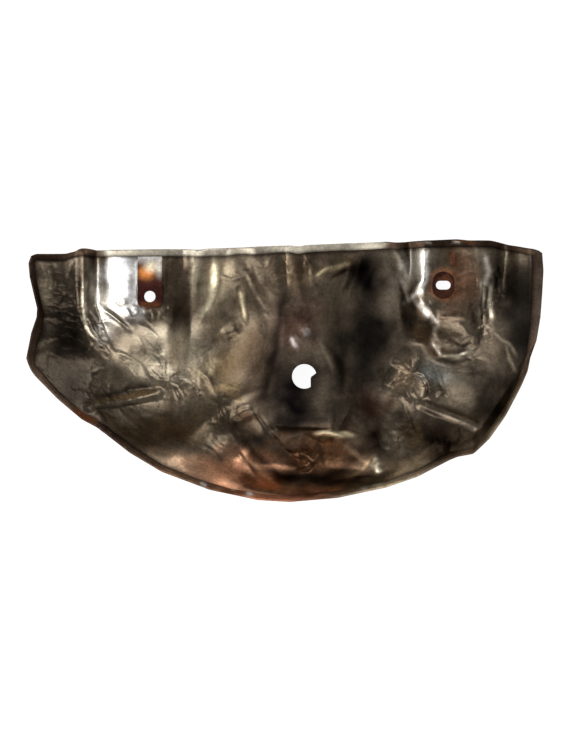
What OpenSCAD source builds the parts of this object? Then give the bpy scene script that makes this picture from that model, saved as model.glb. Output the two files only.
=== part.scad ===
// Exhaust heat shield: a deep half-round dish, pressed from thin sheet, with a wrinkled foil liner
// inside it. It lies on the back of the dish with the hollow side up. X runs along the straight top
// edge, Y points to that edge and Z is up. The origin is under the middle of the outline.
// The whole form is one grid of points over the outline. Both sheets are offsets of that grid, so
// they nest without touching, and the outer sheet is folded back over the liner all round.

/* [Outline] */
// Width from the left corner to the right edge
shield_w = 414; // [404:1:424]
// Length from the top edge to the lowest point of the curved edge
shield_l = 211; // [206:1:216]

/* [Walls] */
// Height of the curved rim above the floor
rim_h = 46; // [42:1:52]
// Height of the left rim above the floor
left_rim_h = 43; // [38:1:48]
// Height of the right rim above the floor
right_rim_h = 44; // [38:1:50]
// Height of the top edge above the floor between the pads
top_rim_h = 33; // [30:1:36]
// Width of the wall below the curved rim
rim_wall_w = 52; // [44:1:60]
// Width of the steep wall where a bowl reaches the curved rim
steep_wall_w = 13; // [10:1:18]
// Width of the left wall
left_wall_w = 60; // [50:1:70]
// Width of the right wall
right_wall_w = 40; // [32:1:50]
// Width of the flat lip outside the right wall
right_lip_w = 9; // [4:1:14]
// Width of the slope below the top edge
top_wall_w = 66; // [56:1:76]

/* [Bowls] */
// Width of the left bowl
left_bowl_w = 136; // [126:1:142]
// Length of the left bowl
left_bowl_l = 108; // [98:1:114]
// Width of the right bowl
right_bowl_w = 132; // [122:1:138]
// Length of the right bowl
right_bowl_l = 108; // [98:1:114]
// Width of the lower bowl
lower_bowl_w = 112; // [104:1:122]
// Length of the lower bowl
lower_bowl_l = 58; // [52:1:64]
// Width of the throats that lead from the two upper bowls to the top edge
throat_w = 74; // [64:1:80]
// Length of the throats
throat_l = 98; // [88:1:108]
// Width over which the edge of a bowl is rounded
bowl_edge = 9; // [6:0.5:11]

/* [Sheets] */
// Thickness of the outer sheet
outer_t = 0.6; // [0.4:0.05:1]
// Thickness of the foil liner
liner_t = 0.3; // [0.2:0.05:0.5]
// Clear gap between two sheets that lie on each other
sheet_gap = 0.1; // [0.05:0.05:0.3]

/* [Folded edge] */
// Width of the folded edge along the top
hem_top_w = 5.6; // [4:0.2:8]
// Width of the folded edge along the curve
hem_bottom_w = 4.4; // [3:0.2:6]
// Width of the folded edge on the left
hem_left_w = 5; // [4:0.2:8]
// Width of the folded edge on the right
hem_right_w = 8.4; // [6:0.2:10]
// Room between the liner's edge and the fold
hem_room = 0.8; // [0.6:0.05:0.9]
// Extra room above and below the liner at the round of the fold
hem_open = 0.55; // [0.4:0.05:0.8]

/* [Left mount] */
// Diameter of the round bolt hole
bolt_hole_d = 9; // [6:0.5:10]
// Distance of the hole to the left of the middle
bolt_hole_left = 108.2; // [105:0.2:111]
// Distance of the hole above the middle
bolt_hole_up = 59.5; // [57:0.5:62]
// Width of the window in the liner round the hole
window_w = 19.6; // [16:0.2:22]
// Distance from the hole's centre down to the window's lower edge
window_below = 8; // [7:0.5:10]
// Radius of the window's lower corners
window_corner_r = 3; // [1:0.5:5]

/* [Right mount] */
// Length of the slot from end to end
slot_l = 11.8; // [9:0.2:14]
// Width of the slot
slot_w = 7; // [5:0.5:8]
// Distance of the slot to the right of the middle
slot_right = 127.2; // [124:0.2:130]
// Distance of the slot above the middle
slot_up = 68.6; // [66:0.2:71]
// Width of the oval window in the liner round the slot
oval_w = 17.6; // [16:0.2:20]
// Height of the oval window
oval_l = 22; // [21:0.5:26]

/* [Mounting pads] */
// Height of both pads above the floor
pad_h = 37; // [33:1:41]
// Width of the left pad's flat
left_pad_w = 28; // [26:1:32]
// Distance of the left pad's middle to the left of its hole
left_pad_shift = 1.5; // [0:0.5:3]
// Width of the right pad's flat
right_pad_w = 28; // [26:1:34]
// Width of the slope beside a pad
pad_side = 20; // [16:1:24]
// Width of the long slope on the left of the left pad
left_pad_side = 34; // [30:1:38]
// Flat length of the left pad below its hole
left_pad_below = 10; // [9:0.5:13]
// Flat length of the right pad below its slot
right_pad_below = 14; // [12:1:18]
// Length of the slope from the left pad down to the floor
left_pad_slope = 66; // [58:1:72]
// Length of the slope from the right pad down to the floor
right_pad_slope = 34; // [28:1:42]
// Height of the round blister below the right pad
blister_h = 8; // [4:0.5:10]
// Diameter of the blister
blister_d = 52; // [44:1:58]

/* [Centre land] */
// Diameter of the hole in the land
centre_hole_d = 19.8; // [16:0.2:24]
// How much wider the liner's hole is than the outer sheet's
centre_hole_relief = 0.8; // [0.4:0.2:2]
// Distance of the centre hole to the right of the middle
centre_hole_right = 15.8; // [14:0.2:18]
// Distance of the centre hole below the middle
centre_hole_down = 4.6; // [2:0.2:8]
// Reach of the lug into the centre hole from the right
lug_reach = 4.8; // [2:0.2:6]
// Distance of the lug's upper corner below the middle of the centre hole
lug_down = 1; // [0:0.2:3]
// Slope of the lug's upper side
lug_angle = 38; // [30:1:45]
// Height of the land between the bowls above the floor
land_h = 24; // [20:1:28]
// Width of the flat ring round the centre hole
seat_w = 9; // [7:0.5:12]

/* [Flutes and ridges] */
// Depth of the half-round flutes along the top edge
flute_depth = 6; // [3:0.5:8]
// Half the width of a flute
flute_r = 12; // [9:0.5:15]
// Length over which a flute runs out
flute_fade = 30; // [24:1:40]
// Height of the pressed ridges
ridge_h = 4; // [2:0.5:6]
// Half the width of a ridge
ridge_r = 11; // [8:0.5:14]

/* [Hidden] */
$fn = 64;

// Grid cells across and down the shield
cells_x = 48;
cells_y = 24;

// The outline's four edges. Top and bottom are [right, up]; left and right are [up, right]
top_edge = [[-203.5, 92], [-200, 93.8], [-176, 94], [-163, 97.2], [-150, 96.8], [-79, 97.8],
    [-72, 97], [-62, 98.4], [4, 100.7], [11, 99.7], [18, 101], [82, 103.7], [90, 102.8],
    [100, 103.8], [138, 105.5], [147, 104.6], [165, 104.6], [203, 96.5], [206, 94]];
bottom_edge = [[-207, 10], [-205, 3], [-200.8, -3.6], [-181.6, -23.2], [-162.4, -39.5],
    [-150, -46], [-124, -66.2], [-98.4, -81.4], [-60, -95.8], [-21.6, -103.9], [4, -105.5],
    [42.4, -102.2], [80.8, -94], [106.4, -85.2], [132, -71.9], [138.4, -69.3], [151.2, -67],
    [164, -54.8], [176.8, -36.7], [189.6, -12], [194.5, 0]];
left_edge = [[10, -207], [17.6, -205.6], [30.4, -203.2], [43, -199], [50, -198.6],
    [62.4, -201.6], [75, -204.6], [86, -205.6], [92, -203.5]];
right_edge = [[0, 194.5], [11, 196.8], [24, 201.6], [43, 204.6], [62, 206], [80, 207], [94, 206]];
drawn_w = 414;
drawn_l = 211;

// Pressed bowls: [right, up, half width, half length above, half length below, turn, floor height,
// how square its wall is]. The last two are shallow, where the upper bowls run out beside the lower one
bowls = [
    [-78, 2, left_bowl_w / 2, left_bowl_l / 2, left_bowl_l / 2, 10, 0, 2.5],
    [-44, 36, throat_w / 2, throat_l / 2, throat_l / 2, 4, 6, 2.2],
    [104, -4, right_bowl_w / 2, right_bowl_l / 2, right_bowl_l / 2, -16, 0, 2.5],
    [68, 38, throat_w / 2, throat_l / 2, throat_l / 2, -4, 4, 2.3],
    [16, -75, lower_bowl_w / 2, lower_bowl_l * 0.64, lower_bowl_l * 0.36, -3, 4, 2.3],
    [-38, -46, 34, 24, 24, 25, 11, 2.2],
    [66, -48, 30, 24, 24, -20, 10, 2.2]];

// Flutes along the top edge: [distance to the right of the middle, height or depth as a share]
flutes = [[-150, -1], [-87, -1], [-67, 0.8], [-46, -0.8], [-28, 0.6], [90, 0.6], [103, -1],
    [157, 0.6], [177, -0.8]];
flute_end = 40;

// Pressed ridges: [start, end]
ridges = [[[-156, -29], [-104, -19]], [[112, -28], [153, -44]], [[-160, 92], [-160, 52]],
    [[-160, 52], [-148, 24]]];

// The blister lies below the slot and a little to its right
blister_shift = [9, -42];
blister_top = 0.25;
seat_slope = 14;

// How a wall steepens towards its rim, and how sharply two walls meet in a corner
wall_power = 1.5;
corner_power = 8;
lean_step = 0.03;
most_lean = 2.4;

fold_t = outer_t;
stack_t = 2 * outer_t + liner_t + 2 * sheet_gap;
fold_h = stack_t + 2 * hem_open;
cut_h = 2 * rim_h;

function clamp01(v) = min(1, max(0, v));
function ease(v) = let (c = clamp01(v)) c * c * (3 - 2 * c);
function mix(a, b, v) = a + (b - a) * v;
function bell(v) = (1 + cos(180 * min(1, abs(v)))) / 2;
function unit(v) = v / norm(v);

// The lower of two heights, rounded where they cross
function soft_min(a, b, width) =
    let (share = clamp01(0.5 + 0.5 * (b - a) / width))
    mix(b, a, share) - width * share * (1 - share);

function stretched(p) = [p[0] * shield_w / drawn_w, p[1] * shield_l / drawn_l];
function on_edge(edge, share) =
    let (v = mix(edge[0][0], edge[len(edge) - 1][0], share)) [v, lookup(v, edge)];
function swap(p) = [p[1], p[0]];

function top_point(s) = stretched(on_edge(top_edge, s));
function bottom_point(s) = stretched(on_edge(bottom_edge, s));
function left_point(t) = stretched(swap(on_edge(left_edge, 1 - t)));
function right_point(t) = stretched(swap(on_edge(right_edge, 1 - t)));
function edge_length(s) = norm(bottom_point(s) - top_point(s));

// How much longer a cut straight down through the curved rim is than a square one
function lean(s) =
    let (d = bottom_point(min(1, s + lean_step)) - bottom_point(max(0, s - lean_step)))
    min(most_lean, norm(d) / abs(d[0]));

// A point of the outline's plan, blended from its four edges
function plan(s, t) =
    mix(top_point(s), bottom_point(s), t) + mix(left_point(t), right_point(t), s)
    - mix(mix(top_point(0), top_point(1), s), mix(bottom_point(0), bottom_point(1), s), t);

// Share of the way across or down at a grid line: the first and last cells are as wide as the hem
function station(i, cells, first, last) =
    i == 0 ? 0 : i == cells ? 1 : mix(first, 1 - last, (i - 1) / (cells - 2));
function across(i) = station(i, cells_x, hem_left_w / shield_w, hem_right_w / shield_w);
function down(j, s) =
    station(j, cells_y, hem_top_w / edge_length(s), hem_bottom_w * lean(s) / edge_length(s));

// Height that a wall adds at a distance from its rim
function wall(distance, height, width) = height * pow(clamp01(1 - distance / width), wall_power);

// The land with the walls that rise from it to the four edges
function walls_h(s, t) =
    let (l = edge_length(s),
         walls = [wall((1 - t) * l / lean(s), rim_h - land_h, rim_wall_w),
                  wall(s * shield_w, left_rim_h - land_h, left_wall_w),
                  wall((1 - s) * shield_w - right_lip_w, right_rim_h - land_h, right_wall_w),
                  (top_rim_h - land_h) * (1 - ease(t * l / top_wall_w))])
    land_h + pow(walls * [for (w = walls) pow(w, corner_power - 1)], 1 / corner_power);

function flute_h(p) =
    ease((p[1] - flute_end) / flute_fade) * flute_depth
    * ([for (f = flutes) f[1]] * [for (f = flutes) bell((p[0] - f[0]) / flute_r)]);

// The walls with the bowls pressed into them, up to the rim, where the walls stay
function pressed_h(s, t, p) =
    let (h = walls_h(s, t) + flute_h(p), from_rim = (1 - t) * edge_length(s) / lean(s))
    mix(h, with_bowls(h, p), ease(from_rim / steep_wall_w));

// How far a point is from the middle of a bowl, as a share of the bowl's reach
function bowl_share(p, b) =
    let (x = p[0] - b[0], y = p[1] - b[1], across = x * cos(b[5]) + y * sin(b[5]),
         up = y * cos(b[5]) - x * sin(b[5]))
    norm([across / b[2], up / (up > 0 ? b[3] : b[4])]);
function bowl_h(p, b) = b[6] + (land_h - b[6]) * pow(bowl_share(p, b), b[7]);
function with_bowls(h, p, i = 0) =
    i == len(bowls) ? h : with_bowls(soft_min(h, bowl_h(p, bowls[i]), bowl_edge), p, i + 1);

function segment_distance(p, a, b) =
    let (d = b - a, share = clamp01((p - a) * d / (d * d))) norm(p - a - d * share);
function ridge_part(p) =
    max([for (r = ridges) ridge_h * bell(segment_distance(p, r[0], r[1]) / ridge_r)]);

function blister_part(p) =
    let (d = 2 * norm(p - [slot_right, slot_up] - blister_shift) / blister_d)
    blister_h * (1 - ease((d - blister_top) / (1 - blister_top)));

// The flat seats: round the centre hole, and the two pads that run out to the top edge
function seat_share(p) =
    let (d = norm(p - [centre_hole_right, -centre_hole_down]))
    1 - ease((d - centre_hole_d / 2 - seat_w) / seat_slope);
function pad_share(p, mid, w, low, slope, left_side) =
    ease(1 - (mid - w / 2 - p[0]) / left_side) * ease(1 - (p[0] - mid - w / 2) / pad_side)
    * ease(1 - (low - p[1]) / slope);

function height(s, t) =
    let (p = plan(s, t),
         pressed = pressed_h(s, t, p) + ridge_part(p) + blister_part(p),
         seated = mix(pressed, land_h, seat_share(p)),
         left_done = mix(seated, pad_h,
             pad_share(p, -bolt_hole_left - left_pad_shift, left_pad_w,
                 bolt_hole_up - left_pad_below, left_pad_slope, left_pad_side)))
    mix(left_done, pad_h, pad_share(p, slot_right, right_pad_w, slot_up - right_pad_below,
        right_pad_slope, pad_side));

// The back of the outer sheet, as rows of points from the top edge down, with its lowest point at 0
raw = [for (j = [0:cells_y]) [for (i = [0:cells_x])
    let (s = across(i), t = down(j, s)) concat(plan(s, t), height(s, t))]];
low = min([for (row = raw) for (p = row) p[2]]);
grid = [for (row = raw) [for (p = row) p - [0, 0, low]]];
normals = [for (j = [0:cells_y]) [for (i = [0:cells_x])
    let (right = grid[j][min(cells_x, i + 1)] - grid[j][max(0, i - 1)],
         up = grid[max(0, j - 1)][i] - grid[min(cells_y, j + 1)][i])
    unit(cross(right, up))]];

function inner(i, j) = [min(cells_x - 1, max(1, i)), min(cells_y - 1, max(1, j))];

// A point at a height above the back of the outer sheet. On the outline it may be higher and drawn inwards
function at(i, j, h, inset = 0, lift = 0) =
    let (n = inner(i, j), on_outline = n != [i, j])
    grid[j][i] + normals[j][i] * (h + (on_outline ? lift : 0))
    + (on_outline && inset > 0 ? inset * unit(grid[n[1]][n[0]] - grid[j][i]) : [0, 0, 0]);

row_n = cells_x + 1;
grid_n = row_n * (cells_y + 1);
ring_n = 2 * (cells_x + cells_y);
hem_n = ring_n - 8;

function index(i, j) = j * row_n + i;
function layer(h, inset = 0, lift = 0) =
    [for (j = [0:cells_y]) for (i = [0:cells_x]) at(i, j, h, inset, lift)];

// The outline's points in order, clockwise from the top left corner
function ring(k) =
    let (m = (k + ring_n) % ring_n)
    m < cells_x ? [m, 0]
    : m < cells_x + cells_y ? [cells_x, m - cells_x]
    : m < 2 * cells_x + cells_y ? [2 * cells_x + cells_y - m, cells_y]
    : [0, ring_n - m];
function ring_layer(h, inset = 0) = [for (k = [0:ring_n - 1]) let (r = ring(k)) at(r[0], r[1], h, inset)];

// The hem's edge has one point for each point of the second ring, shared at the corners
hem_starts = [for (k = [0:ring_n - 1])
    let (r = ring(k), before = ring(k - 1)) if (inner(r[0], r[1]) != inner(before[0], before[1])) k];
function hem_index(k) = (len([for (start = hem_starts) if (start <= k) start]) + hem_n - 1) % hem_n;
function hem_layer(h) = [for (k = hem_starts) let (r = ring(k), n = inner(r[0], r[1])) at(n[0], n[1], h)];

// Two corner cells are split the other way, as the fold's corners are
function in_turned_corner(i, j) = (i == cells_x - 1 && j == 0) || (i == 0 && j == cells_y - 1);
function top_faces(base) = [for (j = [0:cells_y - 1]) for (i = [0:cells_x - 1])
    let (a = base + index(i, j), b = a + 1, d = a + row_n, c = d + 1)
    each in_turned_corner(i, j) ? [[a, b, d], [b, c, d]] : [[a, b, c], [a, c, d]]];
function reversed(faces) = [for (f = faces) [f[2], f[1], f[0]]];

// Triangles between two loops, without those whose corners meet. They are split the same way as the
// cells of the layers, so that the fold stays parallel to the liner; inwards means that b is the inner loop
function strip(a, b, inwards = true) = [for (k = [0:ring_n - 1])
    let (n = (k + 1) % ring_n,
         upright = ring(k)[0] == ring(n)[0],
         faces = upright == inwards ? [[a[k], a[n], b[k]], [a[n], b[n], b[k]]]
             : [[a[k], a[n], b[n]], [a[k], b[n], b[k]]])
    each [for (f = faces) if (f[0] != f[1] && f[1] != f[2] && f[2] != f[0]) f]];
function outline_loop(base) = [for (k = [0:ring_n - 1]) let (r = ring(k)) base + index(r[0], r[1])];
function plain_loop(base) = [for (k = [0:ring_n - 1]) base + k];
function hem_loop(base) = [for (k = [0:ring_n - 1]) base + hem_index(k)];

// The pressed sheet, with its edge folded back over the liner all round
module pressed_sheet() {
    back = outline_loop(0);
    front = outline_loop(grid_n);
    fold_out = plain_loop(2 * grid_n);
    fold_in = plain_loop(2 * grid_n + ring_n);
    hem_over = hem_loop(2 * grid_n + 2 * ring_n);
    hem_under = hem_loop(2 * grid_n + 2 * ring_n + hem_n);
    polyhedron(
        points = concat(layer(0), layer(outer_t, fold_t), ring_layer(fold_h), ring_layer(fold_h - outer_t, fold_t),
            hem_layer(stack_t), hem_layer(stack_t - outer_t)),
        faces = concat(reversed(top_faces(0)), top_faces(grid_n), strip(back, fold_out),
            strip(fold_out, hem_over), strip(hem_over, hem_under), strip(hem_under, fold_in, false),
            strip(fold_in, front)));
}

// The foil that lies on the pressed sheet and ends just inside the fold
module foil() {
    low_h = outer_t + sheet_gap;
    inset = fold_t + hem_room;
    edge_lift = 0.2 * hem_open;
    polyhedron(
        points = concat(layer(low_h, inset, edge_lift), layer(low_h + liner_t, inset, edge_lift)),
        faces = concat(reversed(top_faces(0)), top_faces(grid_n),
            strip(outline_loop(0), outline_loop(grid_n))));
}

module through(d) {
    cylinder(h = cut_h, d = d);
}

module slot_cut() {
    half = (slot_l - slot_w) / 2;
    for (side = [-1, 1]) {
        translate([side * half, 0, 0]) through(slot_w);
    }
    translate([-half, -slot_w / 2, 0]) cube([2 * half, slot_w, cut_h]);
}

// The round centre hole, less the lug that was left standing in it at the lower right
module centre_cut(wider = 0) {
    x = centre_hole_d / 2 - lug_reach + wider / 2;
    lug_out = centre_hole_d / 2;
    difference() {
        through(centre_hole_d + wider);
        linear_extrude(height = cut_h) polygon([[x, -lug_down], [x, -centre_hole_d],
            [x + lug_out, -centre_hole_d], [x + lug_out, lug_out * tan(lug_angle) - lug_down]]);
    }
}

// A window with round lower corners that runs out under the hem at the top
module window_cut() {
    side = window_w - 2 * window_corner_r;
    linear_extrude(height = cut_h) translate([-side / 2, window_corner_r - window_below]) union() {
        translate([-window_corner_r, 0]) square([window_w, shield_l / 2]);
        translate([0, -window_corner_r]) square([side, window_corner_r]);
        circle(r = window_corner_r);
        translate([side, 0]) circle(r = window_corner_r);
    }
}

// An oval with parallel sides and half-round ends
module oval_cut() {
    reach = (oval_l - oval_w) / 2;
    for (side = [-1, 1]) {
        translate([0, side * reach, 0]) through(oval_w);
    }
    translate([-oval_w / 2, -reach, 0]) cube([oval_w, 2 * reach, cut_h]);
}

module outer_sheet() {
    color("#7a6a58") difference() {
        pressed_sheet();
        translate([-bolt_hole_left, bolt_hole_up, 0]) through(bolt_hole_d);
        translate([slot_right, slot_up, 0]) slot_cut();
        translate([centre_hole_right, -centre_hole_down, 0]) centre_cut();
    }
}

module inner_liner() {
    color("#8c8072") difference() {
        foil();
        translate([-bolt_hole_left, bolt_hole_up, 0]) window_cut();
        translate([slot_right, slot_up, 0]) oval_cut();
        translate([centre_hole_right, -centre_hole_down, 0]) centre_cut(centre_hole_relief);
    }
}

outer_sheet();
inner_liner();
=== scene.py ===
# Exhaust heat shield of a car engine: a pressed steel sheet with a wrinkled foil liner.
# Lengths in the form are in millimetres, as a sheet metal worker would give them. X runs along the
# straight top edge, Y points to it and Z is up out of the hollow. Meshes are made in metres.
import math

import bpy
import numpy as np
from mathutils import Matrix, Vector


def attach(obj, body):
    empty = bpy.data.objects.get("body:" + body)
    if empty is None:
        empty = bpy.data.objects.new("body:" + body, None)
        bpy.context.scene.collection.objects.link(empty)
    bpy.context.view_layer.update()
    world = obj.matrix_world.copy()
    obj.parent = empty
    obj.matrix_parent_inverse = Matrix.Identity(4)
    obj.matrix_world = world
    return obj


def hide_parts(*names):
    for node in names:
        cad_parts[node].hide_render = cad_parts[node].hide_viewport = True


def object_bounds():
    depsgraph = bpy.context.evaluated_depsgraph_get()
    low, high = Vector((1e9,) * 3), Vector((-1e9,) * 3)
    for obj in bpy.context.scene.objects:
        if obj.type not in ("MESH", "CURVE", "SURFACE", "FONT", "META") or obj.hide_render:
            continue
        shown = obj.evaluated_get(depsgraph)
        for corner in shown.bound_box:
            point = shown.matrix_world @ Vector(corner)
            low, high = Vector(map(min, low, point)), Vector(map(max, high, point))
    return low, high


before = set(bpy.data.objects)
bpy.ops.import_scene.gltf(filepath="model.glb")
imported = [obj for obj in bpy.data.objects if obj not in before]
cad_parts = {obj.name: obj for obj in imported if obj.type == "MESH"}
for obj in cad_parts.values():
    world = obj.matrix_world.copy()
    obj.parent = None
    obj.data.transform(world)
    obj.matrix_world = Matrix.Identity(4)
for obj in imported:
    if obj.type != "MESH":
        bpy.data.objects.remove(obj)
cad_low, cad_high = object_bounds()

MM = 0.001

# Sizes of the pressed form
SHIELD_W = 414
RIM_H, LEFT_RIM_H, RIGHT_RIM_H, TOP_RIM_H = 46, 43, 44, 33
RIM_WALL_W, STEEP_WALL_W, LEFT_WALL_W, RIGHT_WALL_W = 52, 13, 60, 40
WALL_POWER = 1.5
RIGHT_LIP_W, TOP_WALL_W = 9, 66
LAND_H, BOWL_EDGE = 24, 11
PAD_H, PAD_SIDE = 37, 20
# Mounting pads: (middle, width, lower end, slope below it, slope on its left)
LEFT_PAD, RIGHT_PAD = (-109.7, 28, 49.5, 66, 34), (127.2, 28, 54.6, 34, PAD_SIDE)
BLISTER, BLISTER_R, BLISTER_H, BLISTER_TOP = (136.2, 26.6), 26, 8, 0.25
FLUTE_DEPTH, FLUTE_R, FLUTE_END, FLUTE_FADE = 6, 12, 40, 30
SEAT_R, SEAT_SLOPE = 18.9, 14
CORNER_POWER, MOST_LEAN, LEAN_STEP = 8, 2.4, 0.03

# Thin metal: the outer sheet, the foil on it, and the edge that is folded over both
OUTER_T, LINER_T, GAP = 0.6, 0.3, 0.1
STACK_T = 2 * OUTER_T + LINER_T + 2 * GAP
FOLD_H = STACK_T + 1.1
FOLD_R = 0.9
HEM_TOP_W, HEM_BOTTOM_W, HEM_LEFT_W, HEM_RIGHT_W = 5.6, 4.4, 5.0, 8.4

# Holes
BOLT_HOLE, BOLT_HOLE_R = (-108.2, 59.5), 4.5
WINDOW_W, WINDOW_BELOW, WINDOW_CORNER_R = 19.6, 8, 3
SLOT, SLOT_L, SLOT_W = (127.2, 68.6), 11.8, 7
OVAL_W, OVAL_L = 17.6, 22
CENTRE, CENTRE_R, CENTRE_RELIEF = (15.8, -4.6), 9.9, 0.4
# The lug in the centre hole: its left side, a corner of its upper edge, and the way that edge faces
LUG_LEFT, LUG_CORNER, LUG_FACES = 20.9, (26, -1.4), (-0.61, 0.79)

# The outline's four edges. Top and bottom are (right, up); left and right are (up, right)
TOP_EDGE = [(-203.5, 92), (-200, 93.8), (-176, 94), (-163, 97.2), (-150, 96.8), (-79, 97.8),
            (-72, 97), (-62, 98.4), (4, 100.7), (11, 99.7), (18, 101), (82, 103.7), (90, 102.8),
            (100, 103.8), (138, 105.5), (147, 104.6), (165, 104.6), (203, 96.5), (206, 94)]
BOTTOM_EDGE = [(-207, 10), (-205, 3), (-200.8, -3.6), (-181.6, -23.2), (-162.4, -39.5),
               (-150, -46), (-124, -66.2), (-98.4, -81.4), (-60, -95.8), (-21.6, -103.9),
               (4, -105.5), (42.4, -102.2), (80.8, -94), (106.4, -85.2), (132, -71.9),
               (138.4, -69.3), (151.2, -67), (164, -54.8), (176.8, -36.7), (189.6, -12), (194.5, 0)]
LEFT_EDGE = [(10, -207), (17.6, -205.6), (30.4, -203.2), (43, -199), (50, -198.6),
             (62.4, -201.6), (75, -204.6), (86, -205.6), (92, -203.5)]
RIGHT_EDGE = [(0, 194.5), (11, 196.8), (24, 201.6), (43, 204.6), (62, 206), (80, 207), (94, 206)]

# Pressed bowls: (right, up, half width, half length above and below, turn, floor height,
# how square its wall is)
BOWLS = [(-78, 2, 68, 54, 54, 10, 0, 2.5), (-44, 36, 37, 49, 49, 4, 6, 2.2),
         (104, -4, 66, 54, 54, -16, 0, 2.5), (68, 38, 37, 49, 49, -4, 4, 2.3),
         (16, -75, 56, 37.1, 20.9, -3, 4, 2.3), (-38, -46, 34, 24, 24, 25, 11, 2.2),
         (66, -48, 30, 24, 24, -20, 10, 2.2)]
# Flutes along the top edge: (distance to the right of the middle, height or depth as a share)
FLUTES = [(-150, -1), (-87, -1), (-67, 0.8), (-46, -0.8), (-28, 0.6), (90, 0.6), (103, -1),
          (157, 0.6), (177, -0.8)]
# Pressed ridges: (start, end, height, half its width)
RIDGES = [((-156, -29), (-104, -19), 1.8, 7), ((112, -28), (153, -44), 2.4, 7),
          ((-160, 92), (-160, 52), 4, 9), ((-160, 52), (-148, 24), 4, 9)]

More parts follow.
